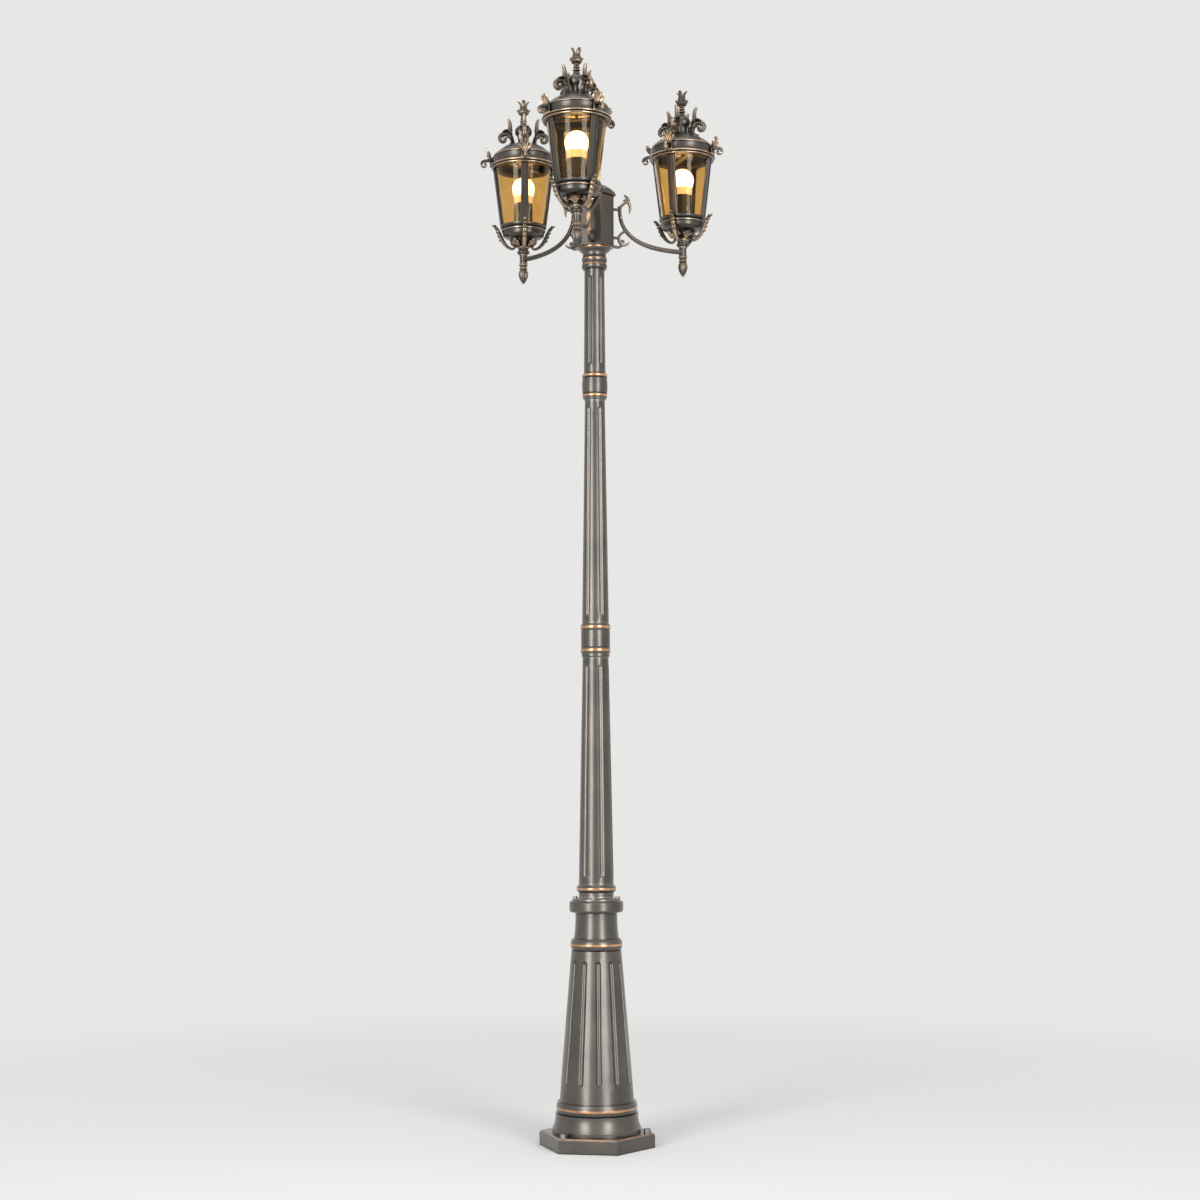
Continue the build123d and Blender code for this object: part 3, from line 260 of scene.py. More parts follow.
# Scroll arms, in millimetres: places are (out from the post's axis, up from the head box's foot)
ARM_HEAD = (57.9, 96.2)
ARM_END = (199.3, 8.5)
ARM_SQUARENESS = 2.65
ARM_STEPS = 18
ARM_BAR = (3.6, 5.0)  # half width at the head and at the end
ARM_CURL = (
    (0.0, -6.0, 3.2),
    (2.0, -0.5, 3.2),
    (6.0, 4.0, 3.2),
    (11.5, 9.0, 3.2),
    (18.0, 12.0, 3.2),
    (22.8, 7.5, 3.0),
    (24.2, -2.0, 2.6),
    (23.0, -13.0, 1.0),
)
ARM_LEAF = ((20.5, 8.0, 3.0), (20.0, 15.0, 3.2), (16.5, 21.5, 2.8), (10.5, 26.3, 1.0))
ARM_SPRIG = ((17.0, 12.0, 2.6), (12.0, 15.0, 2.4), (7.0, 14.0, 0.8))
ARM_FORK = (72.6, 44.2)
ARM_HOOK = (
    (0.0, 0.0, 2.6),
    (-7.0, -4.0, 2.8),
    (-13.0, -9.0, 3.0),
    (-17.0, -17.0, 3.0),
    (-14.5, -26.0, 3.0),
    (-7.5, -31.5, 3.0),
    (1.5, -29.5, 2.6),
    (8.0, -23.0, 1.0),
)
HOOK_SPRIG = ((-15.0, -24.0, 2.4), (-8.5, -22.5, 2.4), (-4.0, -25.5, 1.4))
UNDER_LEAF = ((36.4, 7.8, 3.0), (46.0, 7.2, 3.0), (56.0, 7.2, 3.0), (65.0, 12.6, 2.6))
STUB_ENDS = ((89.0, 58.0), (27.0, 55.6))  # up, out
BOX_FACE = 36.4
STEM = (
    (8.5, 0.0, 0.1),
    (8.9, 1.2, 0.3),
    (8.2, 3.0, 0.0),
    (8.2, 16.0, 0.0),
    (9.3, 18.0, 0.4),
    (9.3, 20.6, 0.4),
    (7.0, 21.0, 0.1),
)


def lantern_places():
    """Each lantern's own frame: its axis for Z, the post's heights, and X pointing away from the post."""
    places = {}
    for joint in frame["joints"]:
        side, _, motion = joint["name"].partition("_")
        if motion == "bulb_turn":
            x, y, _ = joint["pos_m"]
            places[side] = Matrix.Translation((x, y, 0)) @ Matrix.Rotation(atan2(y, x), 4, "Z")
    return places


def new_material(name):
    """A new material with its node tree and its Principled shader."""
    material = bpy.data.materials.new(name)
    material.use_nodes = True
    tree = material.node_tree
    return material, tree, tree.nodes["Principled BSDF"]


def node(tree, kind, **settings):
    """A new node with the given settings."""
    made = tree.nodes.new(kind)
    for key, value in settings.items():
        setattr(made, key, value)
    return made


def noise(tree, scale, detail=3.0):
    """Noise texture over the piece's own coordinates."""
    place = node(tree, "ShaderNodeTexCoord")
    texture = node(tree, "ShaderNodeTexNoise")
    texture.inputs["Scale"].default_value = scale
    texture.inputs["Detail"].default_value = detail
    tree.links.new(place.outputs["Object"], texture.inputs["Vector"])
    return texture.outputs["Fac"]


def spread(tree, value, low, high, from_low=0.0, from_high=1.0):
    """The value mapped from one range to another."""
    mapped = node(tree, "ShaderNodeMapRange")
    tree.links.new(value, mapped.inputs["Value"])
    mapped.inputs["From Min"].default_value = from_low
    mapped.inputs["From Max"].default_value = from_high
    mapped.inputs["To Min"].default_value = low
    mapped.inputs["To Max"].default_value = high
    return mapped.outputs["Result"]


def mixed(tree, factor, first, second):
    """Colour between two, each a constant or a socket."""
    mix = node(tree, "ShaderNodeMix", data_type="RGBA")
    tree.links.new(factor, mix.inputs["Factor"])
    for index, value in ((6, first), (7, second)):  # the node's colour sockets A and B
        if isinstance(value, tuple):
            mix.inputs[index].default_value = value
        else:
            tree.links.new(value, mix.inputs[index])
    return mix.outputs[2]


def combine(tree, operation, first, second):
    """Arithmetic on two values, each a number or a socket."""
    made = node(tree, "ShaderNodeMath", operation=operation)
    for index, value in enumerate((first, second)):
        if isinstance(value, (int, float)):
            made.inputs[index].default_value = value
        else:
            tree.links.new(value, made.inputs[index])
    return made.outputs[0]


def bump(tree, shader, height, strength, distance, edges=None):
    """Surface relief from a height socket, over edges softened to the given radius."""
    made = node(tree, "ShaderNodeBump")
    if edges:
        soft = node(tree, "ShaderNodeBevel", samples=4)
        soft.inputs["Radius"].default_value = edges
        tree.links.new(soft.outputs["Normal"], made.inputs["Normal"])
    made.inputs["Strength"].default_value = strength
    made.inputs["Distance"].default_value = distance
    tree.links.new(height, made.inputs["Height"])
    tree.links.new(made.outputs["Normal"], shader.inputs["Normal"])


def rub_and_highlight_lines(tree, rub_and_highlight_heights):
    """How strongly each height of the piece turns copper: rubbed paint on the post, painted highlight lines on the
    lanterns.
    """
    place = node(tree, "ShaderNodeTexCoord")
    split = node(tree, "ShaderNodeSeparateXYZ")
    tree.links.new(place.outputs["Object"], split.inputs[0])
    lines = None
    for height, half, strength in rub_and_highlight_heights:
        above = combine(tree, "SUBTRACT", split.outputs["Z"], height)
        away = combine(tree, "ABSOLUTE", above, 0.0)
        line = spread(tree, away, strength, 0.0, 0.3 * half, half)
        lines = combine(tree, "MAXIMUM", lines, line) if lines else line
    return lines


def openness(tree, reach):
    """How open the surface is within a reach, from 0 in a deep recess to 1."""
    made = node(tree, "ShaderNodeAmbientOcclusion", samples=6)
    made.inputs["Distance"].default_value = reach
    return made.outputs["AO"]


def bronze(name, paints, recess, rub_and_highlight_heights, copper, edges=None, fluted=False):
    """Bronze paint with metal flake, painted dark in recesses as shade, and copper at heights and edges: rubbed
    paint on the post's beads, painted highlight lines on the lanterns' beads, and wear with painted highlights on
    ornament edges and tips.

    Fluted bronze has painted highlights on the floors of its flutes.
    """
    material, tree, shader = new_material(name)
    # Painted copper on the ornaments' edges and tips, as wear and painted highlight
    worn = node(tree, "ShaderNodeAttribute", attribute_name="rub")
    # Copper from rubbed paint and from painted highlights, at heights and along worn and lit edges
    rubbed_and_highlit = combine(tree, "MAXIMUM", rub_and_highlight_lines(tree, rub_and_highlight_heights), worn.outputs["Fac"])
    patchy = spread(tree, noise(tree, PATCHES), 0.45, 1.1, *NOISE_CORE)
    rubbed_and_highlit = combine(tree, "MULTIPLY", rubbed_and_highlit, patchy)
    cloudy = spread(tree, noise(tree, CLOUDS), 0.0, 1.0, *NOISE_CORE)
    flake = noise(tree, FLAKES, 1.0)
    paint = mixed(tree, cloudy, *paints)
    sparkle = spread(tree, flake, 0.0, 0.5, 0.6, 0.8)
    paint = mixed(tree, sparkle, paint, FLAKE)
    # Painted highlight on the floors of the flutes
    if fluted:
        in_flute = spread(tree, openness(tree, FLUTE_REACH), 1.0, 0.0, *FLUTE_OPENNESS)
        paint = mixed(tree, in_flute, paint, PAINTED_FLUTE_HIGHLIGHT)
    # Painted shade: the paint darkens to near black where the surface is closed in
    unshaded = spread(tree, openness(tree, recess), 0.0, 1.0, *RECESS_SHADE_OPENNESS)
    paint = mixed(tree, unshaded, PAINTED_RECESS_SHADE, paint)
    tree.links.new(mixed(tree, rubbed_and_highlit, paint, copper), shader.inputs["Base Color"])
    rough = spread(tree, flake, 0.28, 0.40, *NOISE_BODY)
    rough = combine(tree, "SUBTRACT", rough, combine(tree, "MULTIPLY", rubbed_and_highlit, 0.12))
    tree.links.new(rough, shader.inputs["Roughness"])
    shader.inputs["Metallic"].default_value = 0.8
    shader.inputs["Coat Weight"].default_value = 0.45
    shader.inputs["Coat Roughness"].default_value = 0.2
    bump(tree, shader, flake, strength=0.25, distance=0.0002, edges=edges)
    return material


def amber_glass():
    """Tea-coloured glass with the slow waves of a drawn pane."""
    material, tree, shader = new_material("amber_glass")
    tone = spread(tree, noise(tree, 22.0, 1.0), 0.0, 1.0, *NOISE_BODY)
    tree.links.new(mixed(tree, tone, *AMBER), shader.inputs["Base Color"])
    shader.inputs["Transmission Weight"].default_value = 1.0
    shader.inputs["Roughness"].default_value = 0.02
    shader.inputs["IOR"].default_value = 1.28
    bump(tree, shader, noise(tree, 38.0, 1.0), strength=0.35, distance=0.002)
    return material


def speckled(name, colours, roughness, metallic, scale, relief):
    """Plain solid finish with fine mottling and a slight grain."""
    material, tree, shader = new_material(name)
    grain = noise(tree, scale)
    tone = spread(tree, grain, 0.0, 1.0, *NOISE_BODY)
    tree.links.new(mixed(tree, tone, *colours), shader.inputs["Base Color"])
    tree.links.new(spread(tree, grain, *roughness, *NOISE_BODY), shader.inputs["Roughness"])
    shader.inputs["Metallic"].default_value = metallic
    bump(tree, shader, grain, relief, distance=0.0003)
    return material


def lit(name, strength):
    """Frosted white of the bulb, glowing from inside."""
    material, tree, shader = new_material(name)
    frost = spread(tree, noise(tree, 500.0), 0.0, 1.0, *NOISE_BODY)
    tree.links.new(mixed(tree, frost, *FROST), shader.inputs["Base Color"])
    shader.inputs["Roughness"].default_value = 0.4
    shader.inputs["Emission Color"].default_value = GLOW
    shader.inputs["Emission Strength"].default_value = strength
    return material


def paint_nodes():
    """Give every CAD node its finish."""
    finishes = {
        "steel": speckled("zinc_steel", STEEL, (0.30, 0.45), metallic=1.0, scale=700.0, relief=0.2),
        "amber_glass": amber_glass(),
        "holder_black": speckled(
            "holder_black", HOLDER_BLACK, (0.3, 0.5), metallic=0.0, scale=420.0, relief=0.2
        ),
        "bulb_white": lit("bulb_white", BULB_BASE_GLOW),
        "bulb_glow": lit("bulb_glow", BULB_GLOW),
        "porcelain": speckled(
            "porcelain", PORCELAIN, (0.2, 0.35), metallic=0.0, scale=200.0, relief=0.1
        ),
    }
    # Post and pole take the lighter copy of the paint, painted light; the lanterns take the darker copy, painted
    # shade
    post_bronze = bronze("post_bronze", POST_PAINT_WITH_PAINTED_LIGHT, POST_RECESS, POST_RUBS, COPPER, EDGE_ROUND)
    pole_bronze = bronze(
        "pole_bronze", POST_PAINT_WITH_PAINTED_LIGHT, POLE_RECESS, POST_RUBS, COPPER, EDGE_ROUND, fluted=True
    )
    lantern_bronze = bronze(
        "lantern_bronze", LANTERN_PAINT_WITH_PAINTED_SHADE, LANTERN_RECESS, LANTERN_HIGHLIGHT_LINES, PALE_COPPER_WEAR_AND_HIGHLIGHT, EDGE_ROUND
    )
    for row in frame["record"]["subparts"]:
        piece = frame["nodes"][row["node"]]
        material = finishes.get(row["material_slot"], post_bronze)
        # These pole sections take the painted flute highlights
        if row["node"] in PAINTED_FLUTE_HIGHLIGHT_NODES:
            material = pole_bronze
        if material is post_bronze and row["node"].partition("_")[0] in SIDES:
            material = lantern_bronze
        piece.data.materials.clear()
        piece.data.materials.append(material)


def smooth_path(nodes, steps=SCROLL_STEPS):
    """Points of a smooth curve through the nodes; every number of a node is carried along."""
    points = []
    last = len(nodes) - 1
    for index in range(last):
        before, after = nodes[max(index - 1, 0)], nodes[min(index + 2, last)]
        columns = tuple(zip(before, nodes[index], nodes[index + 1], after))
        for step in range(steps):
            t = step / steps
            weights = (
                2 * t**2 - t**3 - t,
                3 * t**3 - 5 * t**2 + 2,
                t + 4 * t**2 - 3 * t**3,
                t**3 - t**2,
            )
            points.append(tuple(sum(w * n for w, n in zip(weights, four)) / 2 for four in columns))
    points.append(tuple(nodes[-1]))
    return points


def volute(centre, radii, angles, halves):
    """Nodes along a spiral whose radius, angle and half width run between the given pairs."""
    nodes = []
    for step in range(VOLUTE_STEPS + 1):
        share = step / VOLUTE_STEPS
        ranges = (radii, angles, halves)
        radius, angle, half = (low + share * (high - low) for low, high in ranges)
        out = centre[0] + radius * cos(radians(angle))
        up = centre[1] + radius * sin(radians(angle))
        nodes.append((out, up, half))
    return nodes


def eye(curl):
    """Place at the inner end of a curl."""
    out, up, _ = curl[-1]
    return out, 0, up


def steps_from(start, steps):
    """Nodes at the given steps out, up and half width from a start."""
    return [(start[0] + out, start[1] + up, half) for out, up, half in steps]


def section(squareness, worn, narrow=3.0):
    """Loop (across, sideways, wear and highlight) of a bar's section, its left edge painted copper as wear and
    painted highlight, the more narrowly by narrow.
    """
    loop = []
    for step in range(SECTION_POINTS):
        angle = 2 * pi * step / SECTION_POINTS
        across = copysign(abs(cos(angle)) ** (2 / squareness), cos(angle))
        sideways = copysign(abs(sin(angle)) ** (2 / squareness), sin(angle))
        loop.append((across, sideways, worn * max(0.0, cos(angle)) ** narrow))
    return loop


def bar(mesh, path, loop, thick, tip=0.0):
    """Sweep a section along a path in XZ, its depth tapering with the half widths, painted copper at its tip as
    wear and painted highlight.
    """
    rub = mesh.verts.layers.float["rub"]
    widest = max(half for _, _, half in path)
    rings = []
    for index, (out, up, half) in enumerate(path):
        before = path[max(index - 1, 0)]
        after = path[min(index + 1, len(path) - 1)]
        along = Vector((after[0] - before[0], 0, after[1] - before[1])).normalized()
        left = Vector((-along.z, 0, along.x))
        ring = []
        for across, sideways, worn in loop:
            reach = sideways * thick * (UNTAPERED + (1 - UNTAPERED) * half / widest)
            vert = mesh.verts.new(Vector((out, reach, up)) + left * across * half)
            vert[rub] = max(worn, tip * (index / (len(path) - 1)) ** 3)
            ring.append(vert)
        rings.append(ring)
    close_rings(mesh, rings)
    mesh.faces.new(rings[0])
    mesh.faces.new(rings[-1])


def close_rings(mesh, rings):
    """Faces between neighbouring closed rings of vertices."""
    for low, high in zip(rings, rings[1:]):
        for index in range(len(low)):
            mesh.faces.new((low[index - 1], low[index], high[index], high[index - 1]))


def ball(mesh, centre, radius, worn=0.3, segments=14, bands=9):
    """Round bead about a centre, evenly painted copper as wear and painted highlight."""
    rub = mesh.verts.layers.float["rub"]
    place = Matrix.Translation(centre)
    made = bmesh.ops.create_uvsphere(
        mesh, u_segments=segments, v_segments=bands, radius=radius, matrix=place
    )
    for vert in made["verts"]:
        vert[rub] = worn


def lathe(mesh, profile, segments=32, ridges=0, ridged_below=0.0):
    """Turn a profile (radius, height, wear and highlight) about Z, ridged under the given height."""
    rub = mesh.verts.layers.float["rub"]
    rings = []
    for radius, height, worn in smooth_path(profile, LATHE_STEPS):
        ring = []
        for step in range(segments):
            angle = 2 * pi * step / segments
            wave = 1 + RIDGE * cos(ridges * angle) if ridges and height < ridged_below else 1.0
            spot = (wave * radius * cos(angle), wave * radius * sin(angle), height)
            vert = mesh.verts.new(spot)
            vert[rub] = worn
            ring.append(vert)
        rings.append(ring)
    close_rings(mesh, rings)
    mesh.faces.new(rings[0])
    mesh.faces.new(rings[-1])


def sheet(mesh, rows, thick):
    """Solid sheet through rows of (place, wear and highlight), with half its thickness on either side of them."""
    rub = mesh.verts.layers.float["rub"]
    fronts = []
    backs = []
    for r, row in enumerate(rows):
        front = []
        back = []
        for c, (place, worn) in enumerate(row):
            along = rows[min(r + 1, len(rows) - 1)][c][0] - rows[max(r - 1, 0)][c][0]
            across = row[min(c + 1, len(row) - 1)][0] - row[max(c - 1, 0)][0]
            offset = along.cross(across).normalized() * (thick / 2)
            for line, spot in ((front, place + offset), (back, place - offset)):
                vert = mesh.verts.new(spot)
                vert[rub] = worn
                line.append(vert)
        fronts.append(front)
        backs.append(back)
    rings = [front + back[::-1] for front, back in zip(fronts, backs)]
    close_rings(mesh, rings)
    for front, back in ((fronts[0], backs[0]), (fronts[-1], backs[-1])):
        for c in range(1, len(front)):
            mesh.faces.new((front[c - 1], front[c], back[c], back[c - 1]))


def shell(mesh, size, place, lean, curl, fan=150.0, thick=2.4):
    """Lobed and ribbed shell that stands at a place and leans outward, its tip curling over."""
    half_width, height, lobes = size
    turn = Matrix.Translation((place[0], 0, place[1])) @ Matrix.Rotation(radians(lean), 4, "Y")
    rows = []
    for step in range(SHELL_ROWS + 1):
        rise = SHELL_ROOT + (1 - SHELL_ROOT) * step / SHELL_ROWS
        row = []
        for column in range(SHELL_COLUMNS * lobes + 1):
            share = column / (SHELL_COLUMNS * lobes)
            angle = radians(fan) * (share - 0.5)
            lobe = abs(sin(pi * lobes * share))
            reach = rise * (1 - SHELL_NOTCH * (1 - lobe) * rise)
            out = curl * rise**3 + SHELL_GROOVE * (lobe**0.6 - 0.6) * rise
            side = half_width * sin(angle) / sin(radians(fan / 2)) * reach
            up = height * cos(angle) ** 0.7 * reach
            # The lobes are painted lighter towards their tops, as wear and painted highlight
            worn = (0.2 + 0.75 * rise) * max(0.0, 1.5 * lobe - 0.5)
            row.append((turn @ Vector((out, side, up)), worn))
        rows.append(row)
    sheet(mesh, rows, thick)


def leaf(mesh, path, half_width, lobes=3, cup=0.25, thick=1.6):
    """Serrated leaf along a path in XZ, its edges bent back and its middle rib raised."""
    points = smooth_path(path, LEAF_STEPS)
    rows = []
    for index, (out, up) in enumerate(points):
        share = index / (len(points) - 1)
        before = points[max(index - 1, 0)]
        after = points[min(index + 1, len(points) - 1)]
        along = Vector((after[0] - before[0], 0, after[1] - before[1])).normalized()
        right = Vector((along.z, 0, -along.x))
        bulge = sin(pi * min(1.0, LEAF_START + (1 - LEAF_START) * share)) ** 0.6
        wide = half_width * (LEAF_ROOT + (1 - LEAF_ROOT) * bulge)
        wide *= (1 - LEAF_SERRATION) + LEAF_SERRATION * abs(cos(pi * lobes * share))
        if index == len(points) - 1:
            wide = LEAF_TIP * half_width
        row = []
        for column in range(-LEAF_COLUMNS, LEAF_COLUMNS + 1):
            across = column / LEAF_COLUMNS
            rib = LEAF_RIB * wide * max(0.0, 1 - 4 * abs(across))
            back = cup * wide * across**2 - rib
            worn = 0.25 * share**3 + 0.12 * abs(across) ** 3
            row.append((Vector((out, across * wide, up)) - right * back, worn))
        rows.append(row)
    sheet(mesh, rows, thick)


STRIP = section(3.2, worn=0.45)
ROUND = section(2.0, worn=0.3)


def crown_ornament(mesh):
    """Scroll that curls outward from the roof, its horn, rings, leaves and ball end."""
    curl = [*CROWN_NECK, *volute(*CROWN_VOLUTE)]
    bar(mesh, smooth_path(curl), STRIP, thick=5.2)
    ball(mesh, eye(curl), radius=4.2, worn=0.6)
    bar(mesh, smooth_path(CROWN_HORN), section(2.2, worn=0.3), thick=4.4, tip=0.9)
    for out, up in CROWN_RINGS:
        ring = [(out, up + rise, half) for rise, half in CROWN_RING]
        bar(mesh, smooth_path(ring), ROUND, thick=6.2)
    leaf(mesh, CROWN_LEAF, half_width=12.0, lobes=4)
    leaf(mesh, CROWN_TONGUE, half_width=7.5, lobes=3)


def rim_ornament(mesh):
    """Lobed shell over the cornice, the volute under it and the tab that holds them."""
    shell(mesh, SHELL, SHELL_PLACE, SHELL_LEAN, SHELL_CURL)
    curl = [*RIM_NECK, *volute(*RIM_VOLUTE)]
    bar(mesh, smooth_path(curl), STRIP, thick=4.6)
    ball(mesh, eye(curl), radius=2.9)
    bar(mesh, smooth_path(RIM_TAB), section(3.0, worn=0.2), thick=9.5)


def gallery_ornament(mesh):
    """Scroll under the glass with leaflets on its outer side and a ball in its eye."""
    curl = smooth_path([*GALLERY_BELLY, *volute(*GALLERY_VOLUTE)])
    bar(mesh, curl, section(3.2, worn=0.8), thick=4.8)
    ball(mesh, eye(curl), radius=3.2, worn=0.7)
    belly = smooth_path(GALLERY_BELLY, steps=20)
    for share in GALLERY_LEAFLETS:
        index = int(share * (len(belly) - 1))
        out, up, _ = belly[index]
        along = Vector((belly[index + 2][0] - out, belly[index + 2][1] - up)).normalized()
        away = -along.y * LEAFLET_AWAY - along.x * LEAFLET_BACK
        lift = along.x * LEAFLET_AWAY - along.y * LEAFLET_BACK
        leaflet = [(out + away * far, up + lift * far, half) for far, half in LEAFLET]
        bar(mesh, smooth_path(leaflet), ROUND, thick=4.4, tip=0.8)


def palmette(mesh):
    """Fan of leaves under the gallery's bowl, at the middle of a pane."""
    shell(mesh, PALMETTE, PALMETTE_PLACE, PALMETTE_LEAN, curl=4.0, fan=130.0, thick=2.0)


def cup_ring(mesh):
    """Bead round the gallery's cup."""
    lathe(mesh, CUP_RING)


def cup_leaf(mesh):
    """Leaf laid against the gallery's cup."""
    leaf(mesh, CUP_LEAF, half_width=5.5, lobes=2, cup=0.4)


def finial_core(mesh):
    """Turned spool with pearls under the crown finial's bud."""
    lathe(mesh, FINIAL_SPOOL)
    out, up, radius, number = FINIAL_PEARLS
    for step in range(number):
        angle = 2 * pi * step / number
        place = (out * cos(angle), out * sin(angle), up)
        ball(mesh, place, radius, worn=0.5, segments=10, bands=6)


def petal(mesh):
    """Tall leaf of the bud, flared at its tip."""
    leaf(mesh, PETAL, half_width=6.4, lobes=2, cup=0.35)


def sepal(mesh):
    """Short leaf under or between the tall ones."""
    leaf(mesh, SEPAL, half_width=6.4, lobes=2, cup=0.35)


def drop_core(mesh):
    """Knuckle and ridged acorn under the stem."""
    lathe(mesh, DROP, 48, DROP_RIDGES, DROP_RIDGED_BELOW)


def arm_core(mesh):
    """Swept bar with its curl, leaves, hook and stubs; X runs from the post's axis."""
    bend = []
    for step in range(ARM_STEPS + 1):
        share = step / ARM_STEPS
        angle = pi / 2 * share
        power = 2 / ARM_SQUARENESS
        out = ARM_END[0] - (ARM_END[0] - ARM_HEAD[0]) * abs(cos(angle)) ** power
        up = ARM_HEAD[1] - (ARM_HEAD[1] - ARM_END[1]) * sin(angle) ** power
        bend.append((out, up, ARM_BAR[0] + share * (ARM_BAR[1] - ARM_BAR[0])))
    # The bar's upper edge is painted wide in copper, a painted highlight from the lamps above as well as wear
    bar(mesh, smooth_path(bend), section(3.0, worn=1.0, narrow=0.8), thick=5.0)
    ridge = [(out, up, half * 0.5) for out, up, half in bend]
    bar(mesh, smooth_path(ridge), section(2.0, worn=0.0), thick=6.0)
    edged = section(3.2, worn=0.8, narrow=1.5)
    for steps in (ARM_CURL, ARM_LEAF, ARM_SPRIG):
        bar(mesh, smooth_path(steps_from(ARM_HEAD, steps)), edged, thick=4.2, tip=0.8)
    for steps in (ARM_HOOK, HOOK_SPRIG):
        bar(mesh, smooth_path(steps_from(ARM_FORK, steps)), edged, thick=4.2, tip=0.8)
    bar(mesh, smooth_path(UNDER_LEAF), STRIP, thick=4.2)
    for up, end in STUB_ENDS:
        stub = (
            (BOX_FACE, up, 4.8),
            (BOX_FACE + 2.5, up, 4.8),
            (BOX_FACE + 4.5, up, 3.4),
            (end - 2.0, up, 3.2),
            (end, up, 3.8),
        )
        bar(mesh, smooth_path(stub), ROUND, thick=4.4)


def stem_core(mesh):
    """Turned stem at the arm's end."""
    lathe(mesh, STEM)


def round_axis(mesh, build, turns):
    """Add one copy of an ornament at each turn about Z."""
    for turn in turns:
        first = len(mesh.verts)
        build(mesh)
        mesh.verts.ensure_lookup_table()
        turned = Matrix.Rotation(radians(turn), 3, "Z")
        bmesh.ops.rotate(mesh, cent=(0, 0, 0), matrix=turned, verts=mesh.verts[first:])


def cast(places, name, base, layers, body, replaced, material):
    """One piece on every lantern, from layers of (ornament, turns, shift along X) above a height."""
    for side, place in places.items():
        mesh = bmesh.new()
        mesh.verts.layers.float.new("rub")
        for build, turns, shift in layers:
            first = len(mesh.verts)
            round_axis(mesh, build, turns)
            mesh.verts.ensure_lookup_table()
            bmesh.ops.translate(mesh, vec=(shift, 0, 0), verts=mesh.verts[first:])
        bmesh.ops.recalc_face_normals(mesh, faces=mesh.faces)
        mesh.transform(place @ Matrix.Translation((0, 0, base)) @ Matrix.Scale(MM, 4))
        piece = add_piece(f"{side}_{name}", mesh)
        piece.data.materials.append(material)
        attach(piece, body.format(side=side))
        if replaced:
            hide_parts(f"{side}_{replaced}")


def add_piece(name, mesh):
    """A smoothly shaded scene object made of the finished bmesh."""
    data = bpy.data.meshes.new(name)
    for face in mesh.faces:
        face.smooth = True
    mesh.to_mesh(data)
    mesh.free()
    data.set_sharp_from_angle(angle=radians(SHARP_ANGLE))
    piece = bpy.data.objects.new(name, data)
    bpy.context.scene.collection.objects.link(piece)
    return piece


def ornaments(places, material):
    """All cast ornaments of the lanterns and the arms."""
    roof_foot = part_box("front_roof")[0][2]
    bell_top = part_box("front_finial")[0][2]
    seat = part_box("front_gallery")[1][2]
    box_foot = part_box("head_box")[0][2]
    reach = hypot(*places["front"].translation.xy) / MM
    crown = [(crown_ornament, ORNAMENT_TURNS, 0)]
    rim = [(rim_ornament, ORNAMENT_TURNS, 0)]
    finial = [
        (finial_core, ONCE, 0),
        (petal, ORNAMENT_TURNS, 0),
        (sepal, ORNAMENT_TURNS, 0),
        (sepal, QUARTERS, 0),
    ]
    gallery = [(gallery_ornament, ORNAMENT_TURNS, 0)]
    palmettes = [(palmette, QUARTERS, 0), (cup_ring, ONCE, 0), (cup_leaf, EIGHTHS, 0)]
    drop = [(drop_core, ONCE, 0)]
    arm = [(arm_core, ONCE, -reach), (stem_core, ONCE, 0)]
    for name, base, layers, body, replaced in (
        ("crown_cast", roof_foot, crown, "{side}_roof_unit", "crown_scrolls"),
        ("rim_cast", roof_foot, rim, "{side}_roof_unit", "rim_shells"),
        ("finial_cast", bell_top, finial, "{side}_finial_unit", "finial"),
        ("gallery_cast", seat, gallery, "post", "gallery_scrolls"),
        ("palmettes", seat, palmettes, "post", None),
        ("drop_cast", box_foot, drop, "post", "drop_finial"),
        ("arm_cast", box_foot, arm, "post", "arm"),
    ):
        cast(places, name, base, layers, body, replaced, material)


def surround(scene):
    """Pale world that lights the scene less than it shows."""
    world = bpy.data.worlds.new("surround")
    scene.world = world
    world.use_nodes = True
    tree = world.node_tree
    background = tree.nodes["Background"]
    path = node(tree, "ShaderNodeLightPath")
    seen = combine(tree, "MAXIMUM", path.outputs["Is Camera Ray"], path.outputs["Is Glossy Ray"])
    seen = combine(tree, "MAXIMUM", seen, path.outputs["Is Transmission Ray"])
    tree.links.new(mixed(tree, seen, WHITE, PALE), background.inputs["Color"])
    tree.links.new(spread(tree, seen, WORLD_LIGHT, 1.0), background.inputs["Strength"])


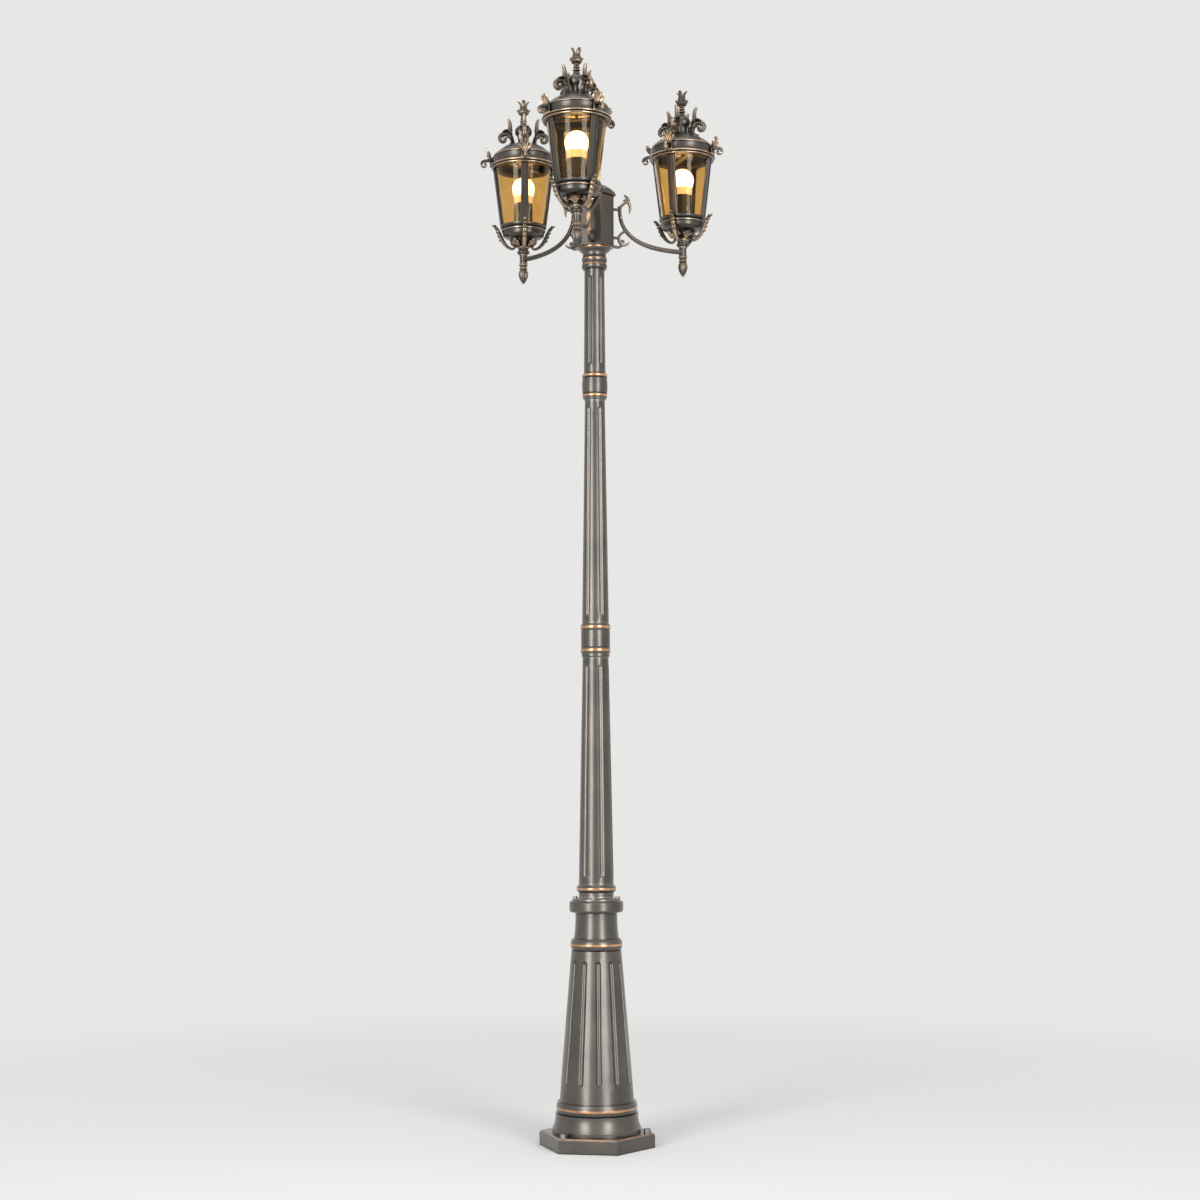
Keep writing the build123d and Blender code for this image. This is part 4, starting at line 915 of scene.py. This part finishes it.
def pale_floor():
    """Round floor that fades into the surround."""
    disc = bmesh.new()
    bmesh.ops.create_circle(disc, cap_ends=True, segments=96, radius=FLOOR_RADIUS)
    floor = add_piece("floor", disc)
    material, tree, shader = new_material("floor_paint")
    place = node(tree, "ShaderNodeTexCoord")
    reach = node(tree, "ShaderNodeVectorMath", operation="LENGTH")
    tree.links.new(place.outputs["Object"], reach.inputs[0])
    fade = spread(tree, reach.outputs["Value"], 1.0, 0.0, *FLOOR_FADE)
    tree.links.new(fade, shader.inputs["Alpha"])
    shader.inputs["Base Color"].default_value = PALE
    shader.inputs["Roughness"].default_value = 0.9
    shader.inputs["Specular IOR Level"].default_value = 0.1
    floor.data.materials.append(material)


def softbox(scene, name, place, target, size, power):
    """Rectangular soft lamp aimed at a point."""
    lamp = bpy.data.lights.new(name, "AREA")
    lamp.shape = "RECTANGLE"
    lamp.size, lamp.size_y = size
    lamp.energy = power
    box = bpy.data.objects.new(name, lamp)
    scene.collection.objects.link(box)
    box.location = place
    box.rotation_euler = (Vector(target) - Vector(place)).to_track_quat("-Z", "Y").to_euler()


def photo_camera(scene):
    """Camera of the photograph, with the pole in its column of the picture."""
    camera = bpy.data.objects.new("camera", bpy.data.cameras.new("camera"))
    scene.collection.objects.link(camera)
    scene.camera = camera
    camera.data.lens = CAMERA_LENS
    camera.data.sensor_width = SENSOR
    azimuth = radians(CAMERA_AZIMUTH)
    x, y = CAMERA_DISTANCE * sin(azimuth), -CAMERA_DISTANCE * cos(azimuth)
    camera.location = (x, y, CAMERA_HEIGHT)
    yaw = atan2(PHOTO_SIZE / 2 - POLE_COLUMN, PHOTO_SIZE * CAMERA_LENS / SENSOR)
    heading = Matrix.Rotation(azimuth - yaw, 4, "Z")
    pitch = Matrix.Rotation(radians(90 + CAMERA_PITCH), 4, "X")
    roll = Matrix.Rotation(radians(CAMERA_ROLL), 4, "Z")
    camera.rotation_euler = (heading @ pitch @ roll).to_euler()


def studio():
    """Pale surround and floor, soft lamps and the photograph's camera."""
    scene = bpy.context.scene
    scene.view_settings.view_transform = "Standard"
    surround(scene)
    pale_floor()
    for settings in SOFTBOXES:
        softbox(scene, *settings)
    photo_camera(scene)


paint_nodes()
# The ornaments take the lanterns' darker copy of the paint, painted shade
cast_bronze = bronze("cast_bronze", LANTERN_PAINT_WITH_PAINTED_SHADE, LANTERN_RECESS, LANTERN_HIGHLIGHT_LINES, PALE_COPPER_WEAR_AND_HIGHLIGHT)
ornaments(lantern_places(), cast_bronze)
studio()
